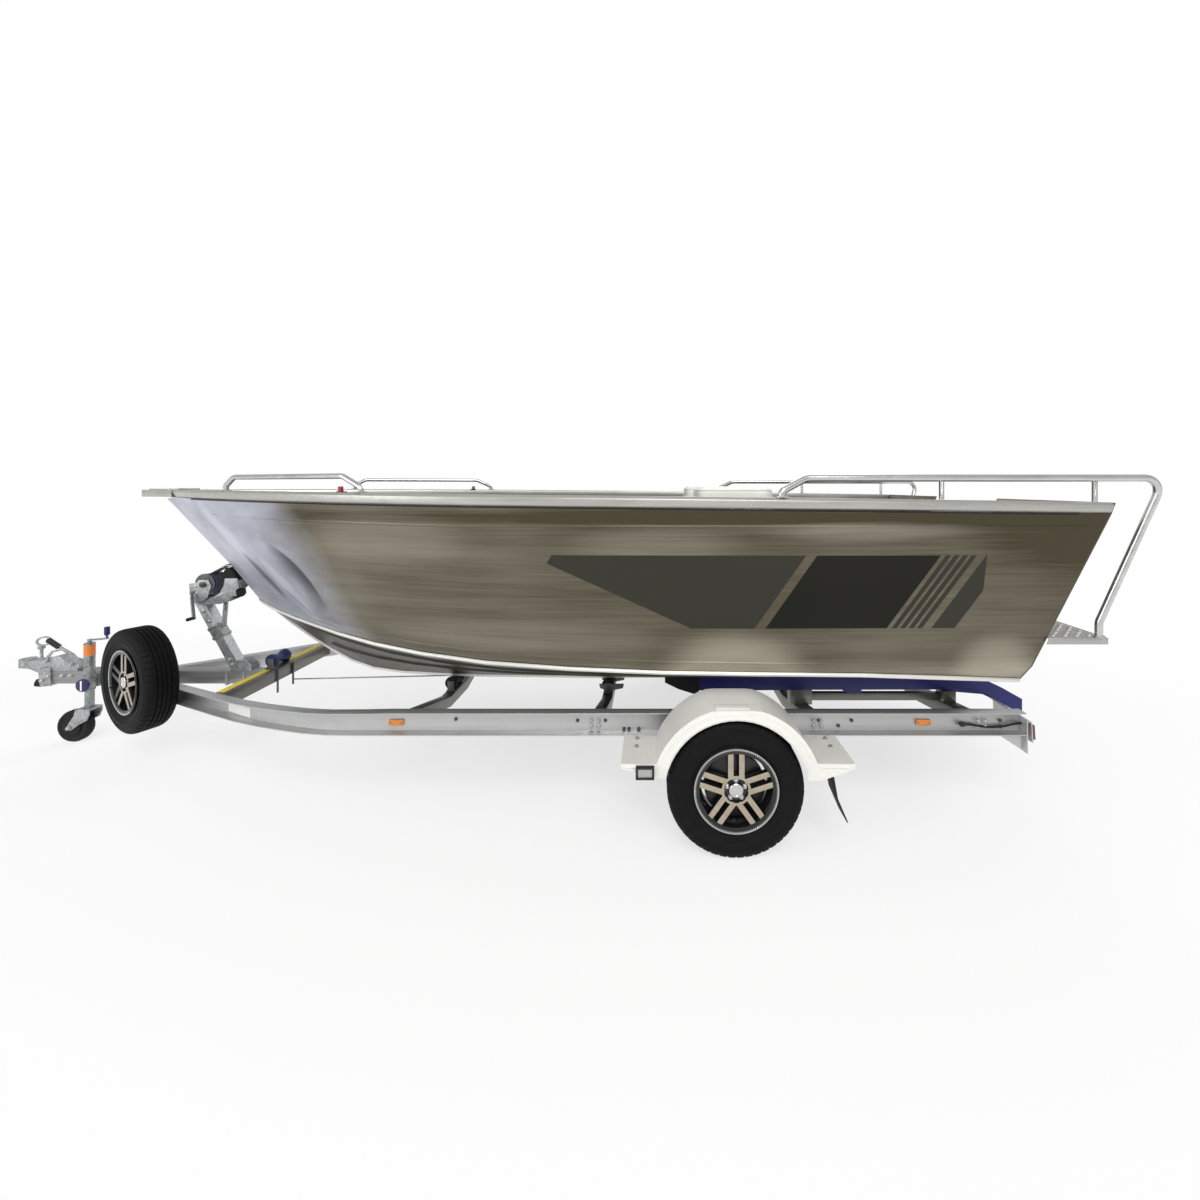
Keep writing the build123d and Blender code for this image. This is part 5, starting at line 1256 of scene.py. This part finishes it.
class BOAT_OT_trailer_frame(Piece, bpy.types.Operator):
    """Rails, drawbar, crossmembers, rollers and skids"""
    bl_idname = "boat.trailer_frame"
    bl_label = "Trailer frame"
    skins = (("rail_port", "channel", 0.0012), ("rail_starboard", "channel", 0.0012),
             ("light_boards", "channel", 0.0012), ("drawbar", "drawbar", 0.002),
             ("crossmembers", "cross", 0.0015), ("roller_brackets", "zinc_dark", 0.001),
             ("skid_posts", "cross", 0.001), ("axle", "zinc", 0.002),
             ("leaf_springs", "zinc_dark", 0.001))

    def build(self, context):
        skinned("keel_rollers", ("rubber", "poly_dark"), 0.003,
                pick=lambda c, n: 1 if c.x > 1.0 else 0)
        skinned("skids", ("poly", "rubber"), 0.004,
                pick=lambda c, n: 1 if c.x > SKID_SPLIT else 0,
                cuts=[((SKID_SPLIT, 0, 0), (1, 0, 0))])
        self.rail_bolts(context.scene.boat_studio.bolt)
        self.cross_bolts(context.scene.boat_studio.bolt)
        self.spring_bolts()
        self.strips()
        self.lamps()
        self.lead()

    def rail_bolts(self, across):
        bolts = Shape()
        for word, side in SIDES:
            for x, z in ((-0.518, 0.424), (-0.648, 0.424), (-0.735, 0.386), (-0.758, 0.386),
                         (-0.804, 0.386), (-1.643, 0.424), (-1.735, 0.400), (-1.797, 0.424),
                         (-2.49, 0.425), (-2.49, 0.395), (0.05, 0.43), (0.95, 0.43), (1.52, 0.41)):
                bolts.bolt(beside("rail_" + word, x, z, side), across * 0.72)
        bolts.done("rail_bolts", ROOT, "zinc_dark", "galvanised")

    def cross_bolts(self, across):
        bolts = Shape()
        for lo, hi in islands("crossmembers"):
            mid = (lo.x + hi.x) / 2
            if hi.x - lo.x > 0.12 or hi.y - lo.y < 1.0 or abs(mid - FRONT_LAMP_X) < 0.08:
                continue
            for word, side in SIDES:
                for dx in (-0.017, 0.017):
                    for z in (0.400, 0.424):
                        bolts.bolt(beside("rail_" + word, mid + dx, z, side), across)
        bolts.done("cross_bolts", ROOT, "steel", "galvanised")

    def spring_bolts(self):
        """U-bolts that clamp the springs over the axle."""
        ubolts = Shape()
        ax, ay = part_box("axle")
        mid = (ax[0] + ay[0]) / 2
        long = [box for box in islands("leaf_springs") if box[1].x - box[0].x > 0.4]
        for side in (1, -1):
            mine = [box for box in long if (box[0].y + box[1].y) * side > 0]
            y0 = min(box[0].y for box in mine) - 0.007
            y1 = max(box[1].y for box in mine) + 0.007
            top = max(over("leaf_springs", mid, (y0 + y1) / 2)[0].z, ay[2]) + 0.004
            for dx in (-0.034, 0.034):
                line = [(mid + dx, y0, ax[2] - 0.022), (mid + dx, y0, top - 0.008),
                        (mid + dx, y0 + 0.007, top), (mid + dx, y1 - 0.007, top),
                        (mid + dx, y1, top - 0.008), (mid + dx, y1, ax[2] - 0.022)]
                ubolts.tube(line, 0.0045, 10)
                for y in (y0, y1):
                    ubolts.nut((mid + dx, y, ax[2] - 0.006), (0, 0, -1), 0.015)
            ubolts.box((mid - 0.048, y0 - 0.012, ax[2] - 0.006),
                       (mid + 0.048, y1 + 0.012, ax[2] - 0.0003))
        ubolts.done("spring_clamps", ROOT, "zinc", "galvanised", mods=bevel(0.0008))

    def strips(self):
        """Yellow tread strip on the front crossmember, and the blank label on the rail."""
        front = max((hi for _, hi in islands("crossmembers")), key=lambda hi: hi.x)
        top = over("crossmembers", front.x - 0.02, 0.3)[0].z
        strip = Shape()
        for side in (1, -1):
            strip.box((front.x - 0.046, side * 0.075, top - 0.0003),
                      (front.x - 0.004, side * (front.y - 0.035), top + 0.0022))
        strip.done("tread_strip", ROOT, "strip", "rail_channel", mods=bevel(0.0006))
        label = Shape()
        rows = []
        for x in span(1.16, 1.335, 8):
            low, high = [beside("rail_port", x, z, 1)[0] for z in (0.350, 0.398)]
            rows.append([p + Vector((0, dy, 0)) for p, dy in
                         ((low, -0.0003), (high, -0.0003), (high, 0.0012), (low, 0.0012))])
        label.skin(rows)
        label.done("rail_label", ROOT, "label", "rail_channel")

    def lamps(self):
        def pick(c, n):
            if abs(c.x - FRONT_LAMP_X) < 0.06 or abs(c.x - REAR_LAMP_X) < 0.06:
                return 0
            return 1 if abs(c.x - MARKER_X) < 0.06 else 2
        skinned("trailer_lamps", ("amber", "clear", "red"), 0.0015, pick=pick)
        frames = Shape()
        for lo, hi in islands("trailer_lamps"):
            if hi.x - lo.x > 0.08 or lo.x < -2.3:
                continue
            side = 1 if hi.y > 0 else -1
            marker = abs((lo.x + hi.x) / 2 - MARKER_X) < 0.06
            wide, deep = (0.008, 0.003) if marker else (0.005, 0.0012)
            reach = sorted((abs(lo.y), abs(hi.y)))
            if marker:
                for a, b, c, d in ((lo.x - wide, hi.x + wide, hi.z, hi.z + wide),
                                   (lo.x - wide, hi.x + wide, lo.z - wide, lo.z),
                                   (lo.x - wide, lo.x, lo.z, hi.z),
                                   (hi.x, hi.x + wide, lo.z, hi.z)):
                    frames.box((a, side * (reach[0] + 0.0002), c), (b, side * (reach[1] + deep), d))
            else:
                for x in (lo.x + 0.007, hi.x - 0.007):
                    frames.dome((x, side * reach[1], (lo.z + hi.z) / 2), (0, side, 0), 0.0032)
        frames.done("lamp_frames", ROOT, "black", "black_moulding", mods=bevel(0.0012))

    def lead(self):
        """Short loop of cable from the gland on the rail to the lamp board."""
        lo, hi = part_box("tail_lead")
        y = hi[1] - 0.008
        points = [(-2.3163, y, 0.410), (-2.350, y, 0.410), (-2.396, y, 0.400), (-2.450, y, 0.397),
                  (-2.504, y, 0.402), (-2.550, y, 0.414), (lo[0], y, 0.416)]
        curve = bpy.data.curves.new("tail_cable", "CURVE")
        curve.dimensions = "3D"
        curve.bevel_depth = 0.005
        curve.bevel_resolution = 4
        curve.resolution_u = 10
        curve.use_fill_caps = True
        line = curve.splines.new("NURBS")
        line.points.add(len(points) - 1)
        for point, place in zip(line.points, points):
            point.co = place + (1.0,)
        line.order_u = 3
        line.use_endpoint_u = True
        cable = link("tail_cable", curve)
        curve.materials.append(finish("rubber"))
        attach(cable, ROOT)
        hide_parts("tail_lead")
        gland = Shape()
        gland.turned([(0.0095, 0.001), (0.0095, 0.010), (0.0075, 0.014), (0.0062, 0.024),
                      (0.0056, 0.040), (0.0054, 0.041)], (-2.298, y, 0.410), (-1, 0, 0), 24)
        gland.box((-2.316, y - 0.018, 0.402), (-2.298, y + 0.008, 0.418))
        gland.done("lead_gland", ROOT, "black", "black_rubber", mods=bevel(0.0008))


class BOAT_OT_winch(Piece, bpy.types.Operator):
    """Winch post with its winch, strap, crank and bow stop"""
    bl_idname = "boat.winch"
    bl_label = "Winch"
    skins = (("winch_post", "zinc_pale", 0.0015), ("bow_stop", "zinc_pale", 0.001),
             ("bow_stop_blocks", "rubber", 0.004, 3), ("winch_drum", "zinc_dark", 0.001))

    def build(self, context):
        skinned("winch_crank", ("zinc", "black"), 0.001,
                pick=lambda c, n: 1 if c.z < 0.745 and c.y > 0.085 else 0)
        mid = sum(corners("winch_drum"), Vector()) / 2
        roll = Shape()
        core, turns = 0.0482, 5
        profile = [(core - 0.01, -0.040)]
        for k in range(turns):
            profile += [(core + 0.0016 * k, -0.040 + 0.0006 * k), (core + 0.0016 * (k + 1),
                                                                   -0.0396 + 0.0006 * k)]
        profile += [(r, -t) for r, t in profile[::-1]]
        roll.turned(profile, mid, (0, 1, 0), 64, ring=True)
        roll.done("strap_roll", "winch_drum", "strap", "black_rubber")
        edge = Shape()
        for s in (1, -1):
            edge.turned([(core + 0.0078, s * 0.036), (core + 0.0094, s * 0.0355),
                         (core + 0.0094, s * 0.0270), (core + 0.0078, s * 0.0265)], mid, (0, 1, 0),
                        64, ring=True)
        edge.done("strap_edges", "winch_drum", "strap_blue", "black_rubber")
        self.strap(mid, core + 0.0084)
        self.gear(mid)
        self.collar()

    def strap(self, mid, r):
        """Tight webbing from the roll to the eye on the stem."""
        stem_z = mid.z + 0.100
        stem = on_node("keel_and_stem", (3.0, 0.0, stem_z), (-1, 0, 0))[0]
        end = stem + Vector((0.030, 0, 0))
        start = mid + Vector((-0.20, 0, 0.98)).normalized() * r
        run = (end - start).normalized()
        up = Vector((-run.z, 0, run.x))
        if up.z < 0:
            up = -up
        wide, thick = 0.034, 0.0011
        points = [mid + Vector((0.36, 0, 0.933)).normalized() * r]
        points += [start.lerp(end, k) for k in (0.0, 0.25, 0.5, 0.75, 1.0)]
        strap = Shape()
        strap.skin([[p + Vector((0, a * wide, 0)) + up * b * thick for a, b in
                     ((-1, -1), (1, -1), (1, 1), (-1, 1))] for p in points])
        piece = strap.done("winch_strap", ROOT, "strap", "black_rubber", smooth=60.0)
        length = sum((b - a).length for a, b in zip(points, points[1:]))
        eye = Shape()
        loop = [stem + Vector((dx, s * 0.020, dz))
                for dx, s, dz in ((-0.02, 1, 0.0), (0.016, 1, 0.004), (0.030, 0.55, 0.006),
                                  (0.034, 0, 0.007), (0.030, -0.55, 0.006), (0.016, -1, 0.004),
                                  (-0.02, -1, 0.0))]
        eye.tube(curve_through(loop, 28), 0.0048, 12)
        eye.tube([end + Vector((0.0, -wide, 0)), end + Vector((0.0, wide, 0))], 0.0055, 12)
        eye.done("bow_eye", ROOT, "steel", "galvanised", smooth=60.0)

    def gear(self, mid):
        """Ratchet gear and shaft ends on the winch frame."""
        gear = Shape()
        teeth, root, tip = 26, 0.034, 0.040
        outline = []
        for k in range(teeth):
            a = math.tau * k / teeth
            outline += [(r * math.cos(b), r * math.sin(b))
                        for r, b in ((root, a), (tip, a + 0.10), (tip, a + 0.14))]
        for side in (1, -1):
            face = beside("winch_post", mid.x + 0.034, mid.z - 0.030, side)[0].y
            at = Vector((mid.x + 0.004, face, mid.z - 0.004))
            if side < 0:
                gear.plate(outline, at + Vector((0, -0.011, 0)), (0, 0, 1), (1, 0, 0), 0.005)
            gear.turned([(0.016, 0), (0.016, 0.012), (0.011, 0.015)], at, (0, side, 0), 24)
            gear.nut(at + Vector((0, side * 0.012, 0)), (0, side, 0), 0.014)
        gear.done("winch_gear", "winch_drum", "zinc_dark", "galvanised", mods=bevel(0.0005))
        bolts = Shape()
        for dx, dz in ((0.045, -0.055), (-0.030, -0.060), (0.050, -0.015)):
            for side in (1, -1):
                hit = beside("winch_post", mid.x + dx, mid.z + dz, side)
                if hit and abs(hit[0].y) < 0.08:
                    bolts.nut(hit[0], hit[1], 0.013)
        for z in (0.44, 0.47, 0.70, 0.76):
            for side in (1, -1):
                near = touch("winch_post", (1.0, 0.012 * side, z), (1, 0, 0))
                if near:
                    bolts.bolt(beside("winch_post", near[0].x + 0.034, z, side), 0.016)
        bolts.done("post_bolts", ROOT, "steel", "galvanised")

    def collar(self):
        """Clamped sleeve round the post."""
        aft = [on_node("winch_post", (1.0, 0.012, z), (1, 0, 0))[0] for z in (0.60, 0.66)]
        fore = [on_node("winch_post", (2.6, 0.012, z), (-1, 0, 0))[0] for z in (0.60, 0.66)]
        mids = [(a + b) / 2 for a, b in zip(aft, fore)]
        run = (mids[1] - mids[0]).normalized()
        cross = Vector((run.z, 0, -run.x))
        half = (fore[0] - aft[0]).length * run.z / 2
        at = Vector((mids[0].x, 0, mids[0].z)) - run * 0.005
        sleeve = Shape()
        for reach, start, long in ((0.005, 0.0, 0.088), (0.008, 0.006, 0.014),
                                   (0.008, 0.066, 0.014)):
            h = half + reach
            outline = [(-h, -h), (h, -h), (h, h), (-h, h)]
            sleeve.plate(outline, at + run * start, cross, (0, -1, 0), -long)
        sleeve.done("post_sleeve", ROOT, "zinc", "galvanised", mods=bevel(0.0012))


class BOAT_OT_hitch(Piece, bpy.types.Operator):
    """Coupling, handbrake, jockey wheel and spare wheel carrier"""
    bl_idname = "boat.hitch"
    bl_label = "Hitch"
    skins = (("coupling", "zinc_pale", 0.0015), ("spare_carrier", "zinc", 0.0015),
             ("jockey_leg", "zinc", 0.001), ("jockey_fork", "zinc_pale", 0.001),
             ("jockey_wheel", "rubber", 0.006, 4))

    def build(self, context):
        skinned("handbrake", ("zinc_pale", "black"), 0.0012,
                pick=lambda c, n: int(c.x > 2.712 and c.z > 0.542 + (c.x - 2.706) * 0.652 - 0.020))
        skinned("jockey_mount", ("zinc", "poly_dark"), 0.001,
                pick=lambda c, n: int(c.z > 0.630 and c.x < 2.42))
        self.coupling_bits()
        self.jockey_bits()

    def coupling_bits(self):
        bits = Shape()
        for x, z in ((2.650, 0.372), (2.700, 0.372), (2.775, 0.372), (2.815, 0.345)):
            for side in (1, -1):
                bits.bolt(beside("coupling", x, z, side) or beside("drawbar", x, z, side), 0.017)
        bits.done("coupling_bolts", ROOT, "steel", "galvanised")
        buffer = Shape()
        buffer.plate([(2.838, 0.352), (2.868, 0.346), (2.882, 0.322), (2.880, 0.304),
                      (2.838, 0.300)], (0, 0.030, 0), (1, 0, 0), (0, 0, 1), 0.060)
        buffer.done("coupling_buffer", ROOT, "rubber", "black_rubber", mods=bevel(0.003, 3))
        grip = Shape()
        lever = Vector((0.069, 0, 0.045)).normalized()
        foot = Vector((2.706, 0.0413, 0.542))
        for k in range(9):
            grip.turned([(0.0118, 0.0), (0.0128, 0.0012), (0.0128, 0.0034), (0.0118, 0.0046)],
                        foot + lever * (0.014 + 0.0085 * k), lever, 24)
        grip.done("handbrake_ridges", ROOT, "black", "black_moulding", smooth=50.0)
        pins = Shape()
        for x, z, across in ((2.628, 0.444, 0.016), (2.788, 0.462, 0.012)):
            pins.nut(beside("handbrake", x, z, 1)[0], (0, 1, 0), across)
        shackle = [(2.560, 0.046, 0.325), (2.556, 0.050, 0.300), (2.548, 0.050, 0.284),
                   (2.534, 0.050, 0.280), (2.520, 0.050, 0.286), (2.514, 0.050, 0.302),
                   (2.512, 0.046, 0.325)]
        pins.tube(curve_through(shackle, 30), 0.0048, 12)
        pins.tube([(2.503, 0.046, 0.330), (2.569, 0.046, 0.330)], 0.0055, 12)
        pins.done("hitch_pins", ROOT, "steel", "galvanised", smooth=50.0)

    def jockey_bits(self):
        lo, hi = corners("jockey_leg")
        x, y = (lo.x + hi.x) / 2, (lo.y + hi.y) / 2
        radius = beside("jockey_mount", x, 0.540, 1)[0].y - y
        band = Shape()
        band.turned([(radius - 0.001, 0.511), (radius + 0.0010, 0.512), (radius + 0.0010, 0.572),
                     (radius - 0.001, 0.573)], (x, y, 0), (0, 0, 1), 48, ring=True)
        band.done("jockey_band", ROOT, "orange", "black_moulding", smooth=40.0)
        rings = Shape()
        for z in (0.305, 0.425, 0.505, 0.574):
            rings.turned([(radius + out, z + up) for out, up in
                          ((-0.001, 0.0), (0.0022, 0.0015), (0.0022, 0.0065), (-0.001, 0.008))],
                         (x, y, 0), (0, 0, 1), 48, ring=True)
        rings.done("jockey_rings", ROOT, "zinc_pale", "galvanised", smooth=40.0)
        face = beside("jockey_mount", x, 0.345, 1)[0].y
        disc = Shape()
        disc.turned([(0.036, 0.0), (0.0375, 0.003), (0.0365, 0.010), (0.030, 0.013),
                     (0.0002, 0.013)], (x + 0.002, face - 0.001, 0.342), (0, 1, 0), 48)
        disc.done("clamp_disc", ROOT, "poly_dark", "black_moulding", smooth=40.0)
        stripe = Shape()
        stripe.box((x - 0.002, face + 0.0115, 0.313), (x + 0.008, face + 0.0128, 0.371))
        stripe.done("clamp_stripe", ROOT, "label", "black_moulding", mods=bevel(0.0004))
        wheel = Shape()
        lo, hi = corners("jockey_wheel")
        mid = (lo + hi) / 2
        for s in (1, -1):
            out = hi.y - mid.y
            wheel.turned([(0.052, out - 0.001), (0.050, out + 0.0012), (0.020, out + 0.0016),
                          (0.018, out + 0.0045), (0.0002, out + 0.0045)], mid, (0, s, 0), 48)
        wheel.done("jockey_hub", "jockey_roll", "rubber", "black_rubber", smooth=40.0)
        bolt = Shape()
        lo, hi = corners("jockey_fork")
        for s, y in ((1, hi.y), (-1, lo.y)):
            bolt.nut((mid.x, y, mid.z), (0, s, 0), 0.019)
        bolt.done("jockey_axle_nuts", "jockey_castor", "steel", "galvanised")


# ------------------------------------------------------------------ studio
FLOOR_REACH = 60.0
SHIFT_X, SHIFT_Y = -0.0441667, -0.095   # of the lens, over the width of its frame


class BOAT_OT_studio(Piece, bpy.types.Operator):
    """Floor, backdrop, lights and camera"""
    bl_idname = "boat.studio"
    bl_label = "Studio"

    def build(self, context):
        self.floor()
        self.backdrop(context)
        self.lights(context)
        self.camera(context)

    def floor(self):
        shape = Shape()
        shape.bm.faces.new([shape.bm.verts.new((x * FLOOR_REACH, y * FLOOR_REACH, 0.0))
                    for x, y in ((-1, -1), (1, -1), (1, 1), (-1, 1))])
        mesh = bpy.data.meshes.new("studio_floor")
        shape.bm.to_mesh(mesh)
        shape.bm.free()
        floor = link("studio_floor", mesh)
        f = Finish("studio_floor", Roughness=0.9, Specular_IOR_Level=0.1)
        f.set("Base Color", f.mix(f.noise(0.6), (0.90, 0.90, 0.90), (0.93, 0.93, 0.93)))
        glow = f.add("ShaderNodeEmission", Color=(1.0, 1.0, 1.0), Strength=1.0)
        rays = f.add("ShaderNodeLightPath")
        seen = Val(f, rays.outputs["Is Camera Ray"]).high(Val(f, rays.outputs["Is Glossy Ray"]))
        x, y, _ = f.places()
        far = ((x * x) * 0.35 + y * y).step(1.6, 12.0)
        blend = f.add("ShaderNodeMixShader")
        f.feed(blend.inputs[0], seen * (far * 0.32 + 0.68))
        f.tree.links.new(f.bsdf.outputs[0], blend.inputs[1])
        f.tree.links.new(glow.outputs[0], blend.inputs[2])
        f.tree.links.new(blend.outputs[0], f.out.inputs[0])
        floor.data.materials.append(f.mat)

    def backdrop(self, context):
        world = bpy.data.worlds.new("studio")
        context.scene.world = world
        world.use_nodes = True
        tree = world.node_tree
        back = tree.nodes["Background"]
        back.inputs[0].default_value = (1.0, 1.0, 1.0, 1.0)
        path = tree.nodes.new("ShaderNodeLightPath")
        seen = tree.nodes.new("ShaderNodeMath")
        seen.operation = "MAXIMUM"
        tree.links.new(path.outputs["Is Camera Ray"], seen.inputs[0])
        tree.links.new(path.outputs["Is Transmission Ray"], seen.inputs[1])
        level = tree.nodes.new("ShaderNodeMapRange")
        level.inputs["To Min"].default_value = 0.58
        level.inputs["To Max"].default_value = 1.0
        tree.links.new(seen.outputs[0], level.inputs["Value"])
        tree.links.new(level.outputs[0], back.inputs[1])

    def lights(self, context):
        for name, spot, target, power, width in (
                ("key", (-1.5, 7.5, 7.0), (0.0, 0.0, 0.8), 520.0, 5.0),
                ("fill", (6.5, 5.0, 3.5), (0.5, 0.0, 0.8), 160.0, 4.0),
                ("rim", (-3.0, -6.0, 6.0), (0.0, 0.0, 1.0), 180.0, 5.0)):
            data = bpy.data.lights.new(name, "AREA")
            data.energy = power
            data.size = width
            lamp = link(name, data)
            lamp.location = spot
            aim = Vector(target) - Vector(spot)
            lamp.rotation_euler = aim.to_track_quat("-Z", "Y").to_euler()

    def camera(self, context):
        size = context.scene.boat_studio
        cam = bpy.data.cameras.new("camera")
        cam.lens = size.lens
        cam.shift_x, cam.shift_y = SHIFT_X, SHIFT_Y
        cam.clip_end = 200.0
        eye = link("camera", cam)
        eye.location = (size.camera_x, size.camera_y, size.camera_z)
        eye.rotation_euler = (math.radians(90.0), 0.0, math.pi)
        context.scene.camera = eye
        context.scene.view_settings.view_transform = "Standard"


class BOAT_PT_panel(bpy.types.Panel):
    """The boat's sizes, colours and pieces"""
    bl_idname = "BOAT_PT_panel"
    bl_label = "Boat on trailer"
    bl_space_type = "VIEW_3D"
    bl_region_type = "UI"
    bl_category = "Boat"

    def draw(self, context):
        for group in (hull(), trailer(), context.scene.boat_studio):
            column = self.layout.column(align=True)
            for key in group.__annotations__:
                column.prop(group, key)
        for cls in OPERATORS:
            self.layout.operator(cls.bl_idname)


GROUPS = (HullLooks, TrailerLooks, StudioSizes)
OPERATORS = (BOAT_OT_studio, BOAT_OT_trailer_frame, BOAT_OT_hull, BOAT_OT_decks, BOAT_OT_seats,
             BOAT_OT_fittings, BOAT_OT_wheels, BOAT_OT_mudguards, BOAT_OT_winch, BOAT_OT_hitch)
CLASSES = GROUPS + OPERATORS + (BOAT_PT_panel,)


def register():
    for cls in CLASSES:
        bpy.utils.register_class(cls)
    bpy.types.Scene.boat_hull = PointerProperty(type=HullLooks)
    bpy.types.Scene.boat_trailer = PointerProperty(type=TrailerLooks)
    bpy.types.Scene.boat_studio = PointerProperty(type=StudioSizes)


def unregister():
    del bpy.types.Scene.boat_studio
    del bpy.types.Scene.boat_trailer
    del bpy.types.Scene.boat_hull
    for cls in reversed(CLASSES):
        bpy.utils.unregister_class(cls)


def main():
    register()
    for cls in OPERATORS:
        group, name = cls.bl_idname.split(".")
        getattr(getattr(bpy.ops, group), name)()


if __name__ == "__main__":
    main()
